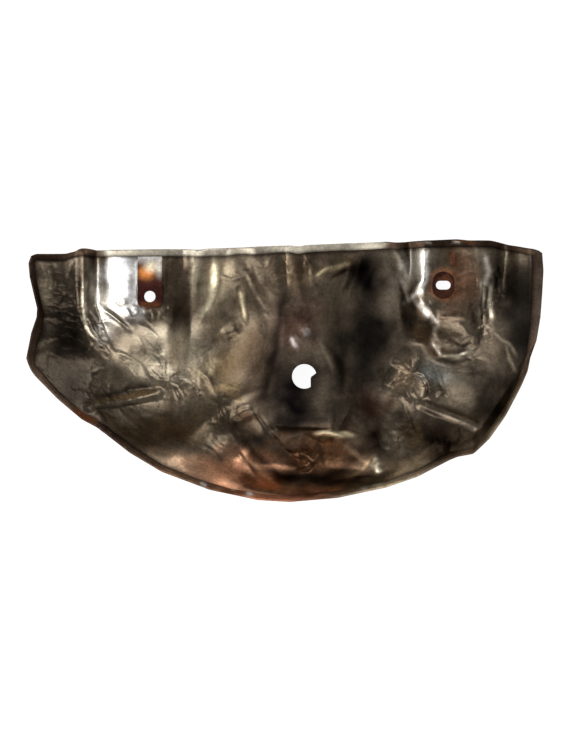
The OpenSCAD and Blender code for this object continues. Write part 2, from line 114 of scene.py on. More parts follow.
# Creases and dents that hard use left in both sheets:
# (points, height, width on the left of the way, width on the right, "sharp" or "round")
CREASES = [
    # Gouge beside the left pad
    ([(-145.6, 49.6), (-138.4, 44.8), (-130.4, 38.4), (-124, 32.8)], -1.8, 2.4, 2.4, "round"),
    # Its raised edge
    ([(-144, 52.8), (-136, 48), (-126.4, 39.2)], 0.9, 1.6, 3, "sharp"),
    # Folds beside it
    ([(-154.4, 43.2), (-148.8, 34.4), (-144.8, 41.6)], 0.9, 1.4, 3, "sharp"),
    ([(-148, 25.6), (-153.6, 33.6), (-156.8, 41.6)], 1.3, 4, 1.4, "sharp"),
    ([(-148, 25.6), (-141.6, 21.6), (-138.4, 16), (-142.4, 11.2), (-148, 14.4)], 1.2, 1.6, 3, "sharp"),
    ([(-148, 25.6), (-156, 19.2), (-159.2, 12.8)], 1, 3, 1.4, "sharp"),
    ([(-138.4, 16), (-130.4, 14.4), (-123.2, 10.4), (-116.8, 5.6), (-111.2, -3.2)], 1.3, 1.4, 5, "sharp"),
    ([(-133.6, 10.4), (-127.2, 4.8), (-121.6, -4)], -1.1, 1.6, 3, "sharp"),
    ([(-117.6, 3.2), (-110.4, -5.6), (-103.2, -11.2)], 1, 1.4, 4, "sharp"),
    # Star in the left bowl
    ([(-96.8, -7.6), (-103.2, -0.8), (-108, 2.4)], 1.2, 1.4, 5, "sharp"),
    ([(-96.8, -7.6), (-91.2, -0.8), (-80.8, 3.2), (-70.4, 0.8), (-62.4, -6.4),
     (-57.6, -17.6)], 1.2, 5, 1.3, "sharp"),
    ([(-96.8, -7.6), (-100, -14.4), (-104.8, -20)], 1.1, 4, 1.4, "sharp"),
    ([(-96.8, -7.6), (-92, -15.2), (-88.8, -24)], 0.9, 1.4, 4, "sharp"),
    ([(-87.2, -4.8), (-79.2, -6.4), (-72, -12), (-68.8, -19.2)], -1, 3, 1.4, "sharp"),
    ([(-82.4, -14.4), (-75.2, -17.6), (-67.2, -16.8)], 0.8, 1.3, 3, "sharp"),
    # Loop below the left pad
    ([(-101.6, 38.4), (-99.2, 45.6), (-93.6, 49.6), (-88, 47.2), (-88.8, 39.2),
     (-95.2, 32.8)], 0.8, 1.3, 2.5, "sharp"),
    ([(-121.6, 51.2), (-116, 44.8), (-108, 43.2)], 0.7, 1.4, 3, "sharp"),
    ([(-118.4, 38.4), (-110.4, 35.2), (-103.2, 28.8), (-100, 19.2)], 0.8, 1.4, 4, "sharp"),
    # Ridge at the lower left
    ([(-155.2, -28), (-143.2, -26.4), (-128.8, -24.8), (-114.4, -21.6), (-104.8, -19.2),
     (-101.6, -12.8)], 1.3, 2, 2, "round"),
    # Marks on the left wall
    ([(-196, 42.4), (-183.2, 42.4)], -1.2, 1.4, 2, "sharp"),
    ([(-198.4, 16), (-191.2, 20.8), (-184, 24)], 1.2, 2, 2, "round"),
    ([(-196, 86.4), (-191.2, 75.2), (-192.8, 62.4)], 0.8, 1.5, 4, "sharp"),
    ([(-186.4, 86.4), (-184, 75.2), (-185.6, 64)], 0.8, 3, 1.5, "sharp"),
    ([(-175.2, 72), (-170.4, 86.4), (-164, 94.4)], 0.8, 2, 4, "sharp"),
    # Creases at the left throat
    ([(-31.2, 78.4), (-27.2, 68), (-21.6, 58.4), (-16.8, 49.6)], 1.3, 1.4, 5, "sharp"),
    ([(-24.8, 81.6), (-18.4, 70.4), (-10.4, 58.4)], 1, 1.4, 4, "sharp"),
    ([(-31.2, 91.2), (-28, 81.6)], 0.9, 1.5, 3, "sharp"),
    # Creases below the middle of the top edge
    ([(0.8, 97.6), (0.8, 86.4), (2.4, 68.8)], -1.4, 1.5, 3, "sharp"),
    ([(8.8, 86.4), (11.2, 68.8), (16.8, 52.8)], 0.8, 1.5, 5, "sharp"),
    ([(16, 94.4), (21.6, 83.2), (22.4, 68.8)], 1, 3, 1.5, "sharp"),
    ([(24, 74.4), (36, 81.6), (49.6, 86.4)], 1.2, 1.4, 5, "sharp"),
    ([(29.6, 68.8), (40.8, 76), (52, 81.6)], -0.9, 1.6, 3, "sharp"),
    ([(52.8, 89.6), (50.4, 76.8), (44.8, 64)], 1.1, 4, 1.4, "sharp"),
    ([(61.6, 91.2), (58.4, 78.4), (52, 62.4)], 0.8, 4, 1.6, "sharp"),
    # Dent above the left bowl
    ([(-50.4, 28.8), (-44.8, 32), (-38.4, 34.4)], 1.5, 4.5, 4.5, "round"),
    ([(-44, 27.2), (-37.6, 29.6)], -1.2, 1.5, 1.5, "round"),
    # Fold at the land's lower left
    ([(-41.6, -37.6), (-33.6, -32.8), (-25.6, -30.4)], 1.6, 2.4, 3, "round"),
    ([(-25.6, -30.4), (-21.6, -36.8), (-15.2, -46.4), (-5.6, -58.4), (4, -67.2),
     (12, -72.8)], -1.6, 4, 1.4, "sharp"),
    ([(-21.6, -32.8), (-13.6, -44), (-1.6, -56.8), (12, -68.8)], 0.9, 1.2, 3, "sharp"),
    # Hook at its end
    ([(7.2, -68), (16, -70.4), (21.6, -74.4), (18.4, -80), (12, -81.6)], 1.7, 2, 2, "round"),
    # Lower edge of the land
    ([(-10.4, -42.4), (4, -44.8), (20, -44.8), (36, -45.6), (49.6, -44.8)], 1.2, 3, 1, "sharp"),
    ([(37.6, -29.6), (38.4, -38.4), (36.8, -48)], 1.2, 1.4, 4, "sharp"),
    ([(52, -30.4), (47.2, -37.6), (41.6, -48)], 1.6, 4, 1.8, "sharp"),
    ([(24.8, -51.2), (37.6, -50.4), (52, -52.8)], 0.8, 2.6, 2.6, "round"),
    ([(49.6, -46.4), (61.6, -49.6), (74.4, -59.2)], 0.9, 1.6, 4, "sharp"),
    # Small dents in the land
    ([(-1.6, -32.8), (0.8, -32)], 0.8, 1.6, 1.6, "round"),
    ([(14.4, 34.4), (19.2, 28.8)], 0.9, 3, 3, "round"),
    ([(7.2, 25.6), (10.4, 18.4)], 0.8, 2.4, 2.4, "round"),
    # Star in the right bowl
    ([(102.4, -2.4), (95.2, 4.8), (84.8, 6.4)], 2, 1.4, 6, "sharp"),
    ([(102.4, -2.4), (108, 4.8), (108.8, 11.2)], 2, 5, 1.4, "sharp"),
    ([(102.4, -2.4), (111.2, -5.6), (115.2, -14.4), (112.8, -22.4)], 2.1, 1.4, 5, "sharp"),
    ([(102.4, -2.4), (96, -9.6), (85.6, -12.8)], 1.9, 5, 1.4, "sharp"),
    ([(95.2, 4.8), (90.4, -3.2), (85.6, -12.8)], -1, 2, 3, "sharp"),
    ([(84.8, 6.4), (82.4, -3.2), (80, -14.4)], 0.9, 3, 1.4, "sharp"),
    ([(111.2, -5.6), (104.8, -12), (101.6, -19.2), (108, -24)], 1, 1.4, 3, "sharp"),
    # Raised fold at the lower right
    ([(111.2, -25.6), (119.2, -31.2), (130.4, -35.2), (142.4, -39.2), (152.8, -43.2),
     (156.8, -48), (155.2, -55.2), (148, -60.8), (140, -64)], 0.8, 3, 3, "round"),
    ([(141.6, -48), (144.8, -54.4), (138.4, -59.2)], 0.8, 2, 2, "round"),
    # Wrinkles beside the right pad
    ([(156, 74.4), (156.8, 62.4), (155.2, 49.6), (157.6, 38.4)], 1.2, 1.6, 2.6, "sharp"),
    ([(163.2, 72.8), (164.8, 60), (162.4, 46.4), (161.6, 36.8)], 1.2, 2.6, 1.6, "sharp"),
    ([(169.6, 68.8), (168.8, 54.4), (171.2, 40)], 1, 1.6, 2.6, "sharp"),
    ([(160, 38.4), (166, 35), (171, 29), (180, 22), (186, 12)], 0.9, 1.4, 4, "sharp"),
    ([(162.4, 36), (154.4, 32.8), (148, 35.2)], 0.9, 3, 1.4, "sharp"),
    ([(176, 32), (183.2, 25.6), (191.2, 25.6)], 0.8, 1.4, 3, "sharp"),
    ([(178, 22), (180, 10), (186, -2)], 1, 1.4, 4, "sharp"),
    # Dent below the slot
    ([(116.8, 49.6), (115.2, 40), (119.2, 30.4), (124.8, 24), (124.8, 14.4)], 1.3, 1.6, 4, "sharp"),
    ([(130.4, 43.2), (141.6, 44.8), (152.8, 38.4)], 0.9, 1.5, 3, "sharp"),
    ([(152.8, 35.2), (151.2, 22.4), (144.8, 12), (133.6, 8.8)], 0.9, 4, 1.5, "sharp"),
    ([(94.4, 73.6), (97.6, 62.4), (100.8, 53.6)], 1.1, 1.6, 3, "sharp"),
    ([(106.4, 62.4), (109.6, 57.6), (115.2, 51.2)], 0.9, 1.4, 4, "sharp"),
    # Dents in the lower bowl
    ([(74.4, -83.2), (74.4, -76.8), (78.4, -71.2)], 1.6, 2.4, 2.4, "round"),
    ([(-61.6, -54.4), (-56.8, -60.8), (-48.8, -65.6)], 0.9, 1.6, 4, "sharp"),
    ([(-65.6, -60.8), (-58.4, -64.8), (-52.8, -72)], 0.7, 1.6, 3, "sharp"),
    ([(21.6, -54.4), (26.4, -62.4), (29.6, -71.2)], 0.8, 1.6, 5, "sharp"),
    # Dents at the lower left rim
    ([(-151.2, -33.6), (-144.8, -43.2), (-145.6, -51.2)], 1, 2, 2, "round"),
    ([(-135.2, -30.4), (-127.2, -40), (-117.6, -46.4)], 0.7, 1.8, 5, "sharp"),
    # Long soft ridges of the flutes at the top left
    ([(-161.6, 75.2), (-161.2, 56), (-160.8, 36.8)], 1, 2, 2.6, "round"),
    ([(-160.8, 36.8), (-156, 28.8), (-149.1, 22.4)], 1, 2, 2.6, "round"),
    ([(-72.8, 93.6), (-72.8, 72), (-72.8, 53.6)], 1.1, 3, 3, "round"),
    ([(-55.2, 92), (-55.2, 71.2), (-59.2, 58.4), (-69.1, 39.2)], 1.6, 3, 4, "round"),
    ([(-36.5, 68), (-34, 55), (-31, 41)], 1.3, 2.6, 3, "round"),
    # Loops of foil below the left pad
    ([(-135.2, 56.8), (-132, 52.8), (-128, 55.2), (-131.2, 58.4)], 0.8, 0.9, 1.6, "sharp"),
    ([(-126.4, 49.6), (-123.2, 44), (-118.4, 45.6), (-117.6, 50.4), (-122.4, 52)], 0.8, 0.9, 1.6, "sharp"),
    ([(-112, 49.6), (-110.4, 41.6), (-106.4, 38.4), (-104.8, 44.8), (-108, 51.2)], 0.8, 0.9, 1.6, "sharp"),
    ([(-100.8, 48), (-96.8, 44), (-91.2, 46.4), (-90.4, 49.6)], 0.8, 0.9, 1.6, "sharp"),
    ([(-89.1, 46.4), (-92, 38.4), (-95.2, 32)], 0.9, 1, 2, "sharp"),
    ([(-154.4, 48), (-150.4, 38.4), (-139.2, 40.8)], 1, 1.2, 2.4, "sharp"),
    ([(-150.4, 38.4), (-148, 24.8)], 0.9, 1.2, 2.4, "sharp"),
    ([(-117.6, 28), (-116, 24), (-113.6, 16.8)], 0.9, 1.4, 2, "sharp"),
    ([(-149.6, 22.4), (-144.8, 19.2), (-140, 13.6)], 1, 1.4, 1.4, "round"),
    ([(-132, 15.2), (-126.4, 8), (-117.6, 5.1), (-115.2, 1.6)], 0.9, 1.1, 2.2, "sharp"),
    ([(-130.4, 11.2), (-125.6, 4), (-120.8, -3.2)], 0.8, 1.1, 2.2, "sharp"),
    # More arms of the star in the left bowl
    ([(-97.6, 16.8), (-97.6, 6.4), (-97.6, -5.6)], 1, 1.2, 3, "sharp"),
    ([(-97.6, -6.4), (-101.6, -11.2), (-106.4, -14.9)], 0.9, 1.2, 3, "sharp"),
    ([(-93.6, -10.4), (-88, -14.4), (-83.2, -20.8)], 0.9, 1.2, 3, "sharp"),
    ([(-76, -12), (-74.4, -13.6)], -0.9, 1.6, 1.6, "round"),
    ([(-70.4, -17.6), (-68.8, -19.2)], -0.9, 1.6, 1.6, "round"),
    # Small folds of the foil below the top edge
    ([(-53.6, 77.6), (-43.2, 74.4), (-32, 77.6)], 0.9, 1.2, 3, "sharp"),
    ([(-33.6, 91.2), (-31.2, 86.4), (-28, 82.4)], 1, 1.2, 3, "sharp"),
    ([(16.8, 88), (17.6, 84)], 0.8, 1.4, 1.4, "round"),
    ([(28.8, 76.8), (38.4, 80), (48.4, 83.2)], 1.1, 1.2, 3.5, "sharp"),
    ([(55.2, 89.6), (52, 78.4), (48.8, 67.2)], 0.9, 1.2, 3, "sharp"),
    ([(72.8, 86.4), (68, 75.2), (61.6, 64)], 0.8, 1.2, 4, "sharp"),
    ([(61.6, 44), (70.4, 44)], 0.8, 1.2, 2.4, "sharp"),
    ([(6.4, 28), (9.6, 24), (12, 19.2)], 1, 2.2, 2.2, "round"),
    # Folds of the right flutes
    ([(96.8, 97.6), (98.4, 86.4), (97.6, 75.2)], 1.2, 2.6, 2.6, "round"),
    ([(113.6, 100), (112.8, 86.4), (112, 72.8), (103.2, 61.6), (101.6, 58.4)], 1.3, 2.4, 2.6, "round"),
    ([(95.2, 56), (98.4, 50.4)], 1, 1.4, 2.4, "sharp"),
    ([(103, 57.6), (108, 49.6)], 1, 1.4, 2.4, "sharp"),
    ([(114.8, 56), (120, 43.2), (124, 36.4)], 1.3, 1.6, 4, "sharp"),
    # Folds round the blister
    ([(118.4, 35.2), (120, 22.4), (126.4, 12)], 1.3, 1.4, 4, "sharp"),
    ([(124, 43.2), (134.4, 44.8), (146, 46.4)], 0.9, 1.3, 3, "sharp"),
    ([(153.6, 31.2), (152.5, 19.5), (145.6, 14.4), (136.8, 11.2)], 1, 3, 1.3, "sharp"),
    ([(135.2, 20), (139.2, 24.8), (143.2, 21.6), (148.8, 26.4)], 0.8, 1.1, 1.8, "sharp"),
    ([(116, 9.6), (128.8, 12), (142.1, 12), (153.6, 10.4), (164, 8)], 0.9, 1.2, 3.4, "sharp"),
    # More wrinkles beside the right pad
    ([(156.8, 74.4), (158.4, 60), (156, 46.4), (159.2, 36.8)], 0.9, 1, 2, "sharp"),
    ([(161.6, 70.4), (160.8, 56), (163.2, 41.6)], 0.9, 2, 1, "sharp"),
    ([(165.6, 72.8), (164.8, 56), (167.2, 44), (169.6, 36.8)], 0.9, 1, 2, "sharp"),
    ([(161.6, 36.8), (164, 30.4), (165.6, 24.8)], 1, 1.2, 2.6, "sharp"),
    # More arms of the star in the right bowl
    ([(101.6, -2.4), (92, 3.2), (82.9, 8)], 1.1, 1.2, 3.4, "sharp"),
    ([(101.6, -2.4), (104, 3.2), (104.8, 8)], 1.2, 1.2, 3, "sharp"),
    ([(108.8, -7.2), (111.2, -14.4), (112, -20.8)], 1, 1.2, 3, "sharp"),
    ([(82.4, -11.7), (86.4, -14.4), (90.1, -16.8)], 0.9, 1.2, 2.4, "sharp"),
    ([(116, -17.6), (122.4, -14.4), (128.8, -17.6), (124, -21.6)], 0.8, 1.1, 2, "sharp"),
    ([(96.6, -27.2), (101.6, -41.6), (105.6, -56.4)], 1.1, 1.4, 4, "sharp"),
    # Folds at the lower end of the land
    ([(-5.9, -43.2), (0.8, -44.4), (8, -44.8)], 1, 1.2, 3, "sharp"),
    ([(38.4, -32), (38.4, -40), (38.4, -47.2)], 1.1, 1.2, 3, "sharp"),
    ([(23.2, -51.2), (38.4, -49.6), (53.6, -52.8)], 1.1, 3, 3, "round"),
    ([(53.6, -33.6), (64, -44.8), (75.2, -57.6)], 1.2, 1.3, 4, "sharp"),
    ([(21.6, -57.6), (24.8, -64), (29.6, -72)], 0.9, 1.4, 3, "sharp"),
    ([(-1.6, -61.6), (5.6, -62.4), (13.6, -61.6)], 1, 1.2, 3, "sharp"),
    ([(9.6, -70.4), (14.4, -72.8), (20, -76)], 1.1, 2, 2, "round"),
    # Edge outside the lower bowl
    ([(-42.4, -56), (-36.8, -68), (-30.4, -76.8),
     (-23.2, -85.6), (-13.6, -94.4), (0, -99.2)], 1.4, 1.3, 5, "sharp"),
    ([(-60, -52.8), (-55.2, -56.8), (-48.8, -64)], 0.9, 1.3, 4, "sharp"),
    ([(-58.4, -60), (-52.8, -56), (-47.2, -53.6)], 0.8, 1.2, 3, "sharp"),
    # Lumps in the dark foil at the lower right
    ([(80.8, -49.6), (85.6, -56), (84, -64)], 1.7, 2, 4, "sharp"),
    ([(90.4, -48), (95.2, -57.6), (92.8, -68.8)], 1.6, 4, 1.6, "sharp"),
    ([(74.4, -60.8), (79.2, -68), (76, -73.6)], 1.4, 1.6, 4, "sharp"),
    ([(112, -46.4), (120.8, -52.8), (124, -62.4)], 1.4, 1.6, 4, "sharp"),
    ([(128, -49.6), (133.6, -57.6), (132, -67.2)], 1.4, 4, 1.6, "sharp"),
]

# Patches of temper colour and soot, and of painted shade and painted highlights: (colour, strength, (right,
# up, half width, half length))
TINTS_AND_PAINTED_LIGHT = [
    ("#1a1410", 0.95, (-179, 32, 46, 90)),  # painted shade on the left wall, which faces away from the light
    ("#24201d", 0.9, (-170, -22, 42, 46)),  # cloudy grey in the left corner
    ("#ffffff", 1, (-126.4, 76, 24.8, 48)),  # bare silver beside the left pad
    ("#e4dfd4", 0.9, (-146, 58, 18, 38)),  # bare silver beside the left pad
    ("#4a3c30", 0.95, (-86.4, 76, 15.2, 40)),  # brown to the right of the left pad
    ("#b8a88c", 0.85, (-54, 70, 30, 46)),  # straw above the left bowl
    ("#f2e4c8", 0.9, (-94, 20, 46, 32)),  # grey below the left pad
    ("#403321", 0.9, (-50, 6, 48, 54)),  # bronze left bowl
    ("#42321f", 0.9, (-86, -44, 54, 24)),  # olive floor of the left bowl
    ("#52402f", 0.85, (10, 80.8, 42, 32.8)),  # brown top middle
    ("#7a664f", 0.7, (49.2, 87.6, 22.8, 19.6)),  # straw top middle
    ("#2a2622", 0.95, (66, 16, 32, 66)),  # soot and painted shade between the land and the right bowl, on the land's shaded right slope
    ("#080606", 1, (72, 76, 36, 38)),  # black below the top edge
    ("#0f0a0d", 1, (12, -14, 46, 56)),  # violet land
    ("#5a4238", 0.85, (12, 40, 36, 32)),  # violet above the land
    ("#6e6b63", 0.9, (104, 78, 18.4, 38)),  # silver right flutes
    ("#8a6851", 0.95, (137.6, 72, 21.6, 40)),  # brown right pad
    ("#0c0a08", 1, (190, 56, 44, 66)),  # dark right end
    ("#24221e", 0.9, (142, -2, 42, 34)),  # grey right bowl
    ("#201b16", 0.9, (172, -24, 38, 34)),  # dark grey right bowl
    ("#948068", 0.9, (100, -6, 20, 22)),  # bronze star in the right bowl
    ("#120a06", 1, (68, -46, 32, 34)),  # dark red between the bowls
    ("#3c3028", 0.95, (120, -54, 36, 30)),  # black lower right
    ("#4a2a18", 0.95, (12, -74, 60, 30)),  # red brown lower bowl
    ("#fdb48a", 1, (-44, -82, 44, 26)),  # copper lower left
    ("#ffdcb8", 0.9, (6, -100, 46, 13.6)),  # copper lower left
    ("#b8a080", 0.9, (96, -80, 36, 16)),  # olive lower right rim
    ("#3c3025", 0.9, (-118, -58, 42, 26)),  # brown lower left rim
    ("#3c3026", 0.9, (-14, 8, 22, 54)),  # brown edge of the land
    ("#3c3226", 0.9, (-32, 56, 20, 30)),  # bronze throat
    ("#33271d", 0.9, (-34, -46, 34, 24)),  # brown fold at the land's lower left
    ("#0c080a", 1, (14, -34, 42, 20)),  # violet lower end of the land
    ("#060405", 1, (64, 82, 40, 28)),  # black below the top edge
    ("#0c0a08", 1, (80, 38, 24, 32)),  # black above the right bowl
    ("#120f0c", 1, (182, 60, 30, 50)),  # dark right end
    ("#1a1714", 0.95, (188, 30, 32, 36)),  # grey brown right wall
    ("#191512", 1, (62, 28, 34, 60)),  # soot and painted shade beside the land, on its shaded right slope
    ("#24120b", 0.9, (62, -22, 26, 24)),  # dark red beside the land
    ("#2a241d", 0.95, (162, -24, 34, 30)),  # painted shade on the lower right of the right bowl
    ("#8c8a82", 0.85, (124, 4, 22, 18)),  # grey sheen in the right bowl
    ("#523a28", 0.95, (34, -66, 46, 28)),  # red brown lower bowl
    ("#a89a84", 0.8, (-124, 20, 24, 26)),  # grey folds left of the star
    ("#c0aa88", 0.8, (88, -88, 50, 12)),  # tan lower right rim
    ("#3a2e22", 0.8, (-28, 14, 16, 34)),  # brown beside the land
    ("#1e1610", 0.9, (-27, -50, 22, 17)),  # dark fold below it
    ("#4a3624", 0.8, (-32, -33, 17, 8)),  # bronze fold at the land's lower left
    ("#c8a486", 0.8, (-86, -69, 28, 13)),  # tan above the copper rim
    ("#d09c7a", 0.85, (-64, -72, 28, 17)),  # pale copper at the lower left
    ("#c08868", 0.6, (-30, -90, 30, 12)),  # copper below the fold
    ("#a8987c", 0.8, (-70, 7, 20, 11)),  # bronze sheen right of the star
    ("#96805e", 0.8, (-48, -18, 22, 10)),  # bronze sheen below it
    ("#1c1916", 0.95, (186, 14, 34, 38)),  # grey brown right wall
    ("#1e1a15", 0.9, (162, -8, 24, 22)),  # painted shade, brown, in the right part of the right bowl
    ("#15110e", 0.9, (98, 27, 17, 20)),  # black left of the blister
    ("#14100c", 0.9, (98, -42, 22, 16)),  # black lumps at the lower right
    ("#6a583f", 0.7, (105, -58, 9, 18)),  # olive lump between them
    ("#120e0b", 0.9, (124, -56, 20, 16)),  # black lumps at the lower right
    ("#281a12", 0.9, (86, -26, 20, 16)),  # dark brown left of the fold
    ("#8c7f6c", 0.8, (-128, 40, 26, 18)),  # grey folds below the left pad
    ("#ffc09a", 0.8, (-36, -88, 36, 16)),  # copper lower left
    ("#e0ac86", 0.9, (14, -99, 52, 8)),  # tan rim below the lower bowl
]
# Lines of rust, darker colour, painted highlight and painted shade: (colour, strength, half its width,
# points)
LINES_OF_STAIN_AND_LIGHT = [
    # Painted shade in a dark crescent on the steep wall at the bottom of the lower bowl, and a pale copper
    # line and painted highlights outside it
    ("#150d08", 0.8, 5, [(-43, -48), (-23, -70), (-5, -86), (14, -90), (32, -88), (46, -81), (58, -70),
                         (66, -61)]),
    ("#f0b890", 0.95, 3.6, [(-24, -97), (0, -100), (20, -100), (46, -97)]),
    ("#eab88e", 0.6, 1.6, [(-34, -68), (-28, -76), (-20, -84), (-8, -93), (8, -98)]),
    ("#a88c68", 0.6, 1.6, [(36, -97), (52, -90), (64, -78), (72, -68)]),
    # Orange ring round the slot, and the streak above it
    ("#a0643c", 0.5, 2.2, [(139, 68.6), (136, 77), (127.2, 81), (118.5, 77), (115.5, 68.6), (118.5, 60.2),
                           (127.2, 56.2), (136, 60.2), (139, 68.6)]),
    ("#7a4226", 0.7, 3.2, [(134, 96), (136, 90), (135, 83)]),
    # Painted shade along the edges of the land
    ("#0c0808", 0.4, 6, [(50, 30), (46, 10), (44, -10), (46, -34)]),
    ("#140e0c", 0.95, 6, [(-1, 64), (-3, 42), (-6, 20), (-10, 0), (-15, -18), (-24, -27)]),
    ("#0e0a0c", 0.7, 5, [(-10, -38), (14, -40), (38, -40)]),
    ("#0f0a08", 0.6, 2.4, [(-17, -44), (4, -46.4), (20, -46.4), (36, -47), (52, -46)]),
    # Painted highlights, straw coloured, along the flutes of the throat
    ("#f4e6c4", 0.9, 3, [(-56, 88), (-56, 72), (-60, 58), (-66, 46)]),
    ("#efdcb4", 0.65, 1.6, [(-36, 65), (-34, 55), (-31, 42)]),
    ("#d8ccb0", 0.7, 2.6, [(-71, 93), (-71, 78), (-72, 62)]),
    # Painted shade in lines down both sides of the window
    ("#150d09", 0.9, 1, [(-118.4, 88), (-118.4, 56), (-115, 51), (-101, 51), (-98, 56), (-98, 76)]),
    # Painted highlights on the folds of the right flutes, round the blister and beside the right pad, and a
    # line of painted shade between two folds beside the pad
    ("#fffaf0", 0.9, 2, [(113, 98), (113, 76), (107, 63), (98, 55)]),
    ("#f4ece0", 0.9, 2.2, [(107, 56), (115, 45), (122, 37), (121, 23), (128, 12)]),
    ("#d8cdb8", 0.8, 1.8, [(128, 12), (142, 12), (153, 18)]),
    ("#efe6d6", 0.9, 2.2, [(160, 92), (163, 80), (161, 68)]),
    ("#e4d8c0", 0.8, 1.5, [(157, 73), (159, 59), (156, 45)]),
    ("#e4d8c0", 0.8, 1.5, [(166, 70), (165, 55), (168, 42)]),
    ("#0e0b09", 0.8, 1.3, [(162, 70), (162, 56), (162, 42)]),
    # Painted highlights on folds below the middle of the top edge, and on two dents in the land
    ("#d0bc94", 0.55, 1.6, [(24, 76), (36, 82), (50, 87)]),
    ("#8c7c62", 0.3, 1.8, [(4, 94), (6, 84), (3, 72)]),
    ("#8c7c62", 0.3, 1.6, [(14, 90), (18, 80), (16, 70)]),
    ("#d8cccc", 0.5, 2, [(6, 26), (9, 18)]),
    ("#c8c0c0", 0.4, 1.8, [(17, 34), (19, 28)]),
    # Painted highlights on the folds of the right wall
    ("#8e8270", 0.45, 1.1, [(160, 38), (166, 35), (171, 29), (180, 22), (186, 12)]),
    ("#8a7d68", 0.35, 1.2, [(178, 22), (180, 10), (186, -2)]),
    # Sheen on the left wall, and on the long fold at its foot
    ("#8a7e6a", 0.5, 4, [(-193, 79), (-191, 66), (-193, 55)]),
    ("#d8ccb4", 0.7, 1.5, [(-161, 74), (-161, 54), (-160, 38), (-153, 27)]),
    # Darker lines along the loops of foil below the left pad
    ("#6a5e50", 0.7, 0.9, [(-135, 57), (-132, 53), (-128, 55), (-131, 59), (-135, 57)]),
    ("#6a5e50", 0.7, 0.9, [(-126, 50), (-123, 44), (-118, 46), (-118, 51), (-123, 53)]),
    ("#6a5e50", 0.7, 0.9, [(-112, 46), (-110, 40), (-106, 38), (-104, 43), (-107, 48)]),
    ("#5a4e40", 0.7, 1, [(-101, 48), (-98, 40), (-92, 36), (-89, 43), (-92, 49)]),
    ("#6a5e50", 0.6, 1.1, [(-118, 30), (-112, 26), (-104, 18), (-98, 8)]),
    # Painted highlights on dents at the lower right and in the straw flute
    ("#fff0d4", 0.9, 2, [(74, -70), (73, -79), (78, -83)]),
    ("#d8c8a4", 0.7, 2.4, [(24, -51), (38, -50), (56, -53)]),
    # Painted highlight along the top and painted shade beside the foot of the ridge at the lower left, and of
    # the fold at the lower right
    ("#b09a7c", 0.3, 1.6, [(-155, -26), (-129, -23), (-105, -17), (-97, -8)]),
    ("#0e0a08", 0.7, 1.6, [(-155, -31), (-135, -29), (-116, -26)]),
    ("#120d0a", 0.8, 4, [(-148, -22), (-128, -15.5), (-110, -13)]),
    ("#7c7062", 0.5, 2, [(113, -26), (131, -34), (152, -42), (157, -50), (156, -57), (148, -62),
                         (138, -66)]),
    ("#0c0a08", 0.8, 2, [(111, -30), (130, -39), (148, -46)]),
]
# Colours of the hem, as patches
HEM_TINTS = [
    ("#2a1e17", 1, (-200, 60, 60, 90)),  # dark brown at the left
    ("#43322a", 0.95, (-150, -56, 60, 44)),  # brown at the lower left
    ("#86664f", 0.9, (-96, -90, 50, 30)),  # brown below
    ("#b87a5c", 1, (-20, -108, 84, 30)),  # copper below the copper bowl
    ("#b8a488", 0.9, (84, -92, 70, 30)),  # olive grey at the lower right
    ("#96866f", 0.9, (172, -44, 44, 60)),  # grey brown at the right
    ("#564b41", 1, (206, 56, 26, 60)),  # brown right end
    ("#3a2c24", 1, (150, 106, 84, 22)),  # brown at the top right
]
# Pale specks of road salt on the hem
SPECKS = [
    ("#f2eee6", 0.9, 1.3, [(-68, -90.5), (-64, -92)]),
    ("#f2eee6", 0.8, 1.2, [(-42, -95.5), (-39, -96.5)]),
    ("#f2eee6", 0.9, 1.5, [(-31, -98.5), (-26, -100)]),
    ("#d8d4ca", 0.7, 1.3, [(60, -95), (66, -94)]),
    ("#d8d4ca", 0.7, 1.3, [(70, -93.5), (78, -91.5)]),
    ("#cfc8ba", 0.7, 1.1, [(112, 102), (118, 102.5)]),
    ("#cfc8ba", 0.7, 1.1, [(134, 103), (140, 103)]),
]
# Colours of the bare steel in the liner's windows
STEEL_TINTS = [
    ("#3a1e1c", 1, (-108, 60, 26, 26)),  # dark purple round the bolt hole
    ("#8a4a2a", 0.8, (-108, 52.5, 16, 5)),  # red brown at the window's foot
    ("#d88a48", 1, (-110, 79, 11, 9)),  # orange in the window
    ("#fff0d0", 1, (-106, 84, 9, 8)),  # cream in the window
    ("#e8e6e0", 1, (-108, 96, 30, 13)),  # bare metal under the hem in the window
    ("#e0dcd2", 0.9, (-99.5, 84, 4, 14)),  # bare strip at its right
    ("#54342a", 1, (127.2, 68.8, 22, 24)),  # dark red round the slot
]

# Places as (right, up, half width, half length): where the foil is crumpled most, and where it stays calm
CRUMPLED = [(-176, 40, 40, 70), (-145, -20, 60, 50), (-90, -5, 45, 35), (-8, 84, 60, 28), (100, -8, 40, 32),
            (150, 40, 50, 60), (126, -62, 40, 22), (96, -52, 34, 26), (165, 70, 40, 35), (-50, -35, 40, 30),
            (20, -60, 60, 30)]
CALM = [(-118, 75, 45, 40), (127, 80, 26, 34), (16, -5, 30, 30)]
# Where soot dulls the metal, and where the hem is free of it
SOOTY = [(12, -10, 44, 58), (64, 34, 40, 66), (-84, 24, 20, 40), (186, 30, 34, 60), (66, -44, 34, 34)]
CLEAN_HEM = [(6, -106, 150, 52), (168, -50, 50, 50)]
# Where rust shows
RUSTED_FOIL = [(129, 68, 13, 16), (135, 88, 4, 12), (-108, 49, 14, 4)]
RUSTED_STEEL = [(-108, 54, 11, 14), (127, 69, 12, 14), (-160, -38, 24, 14), (-60, -100, 60, 12),
                (40, -106, 70, 9), (140, 104, 26, 6)]
# The hem is rubbed pale along the top edge: above this height, and from here to here
RUBBED_ABOVE, RUBBED_FROM, RUBBED_TO = 88, -150, 86
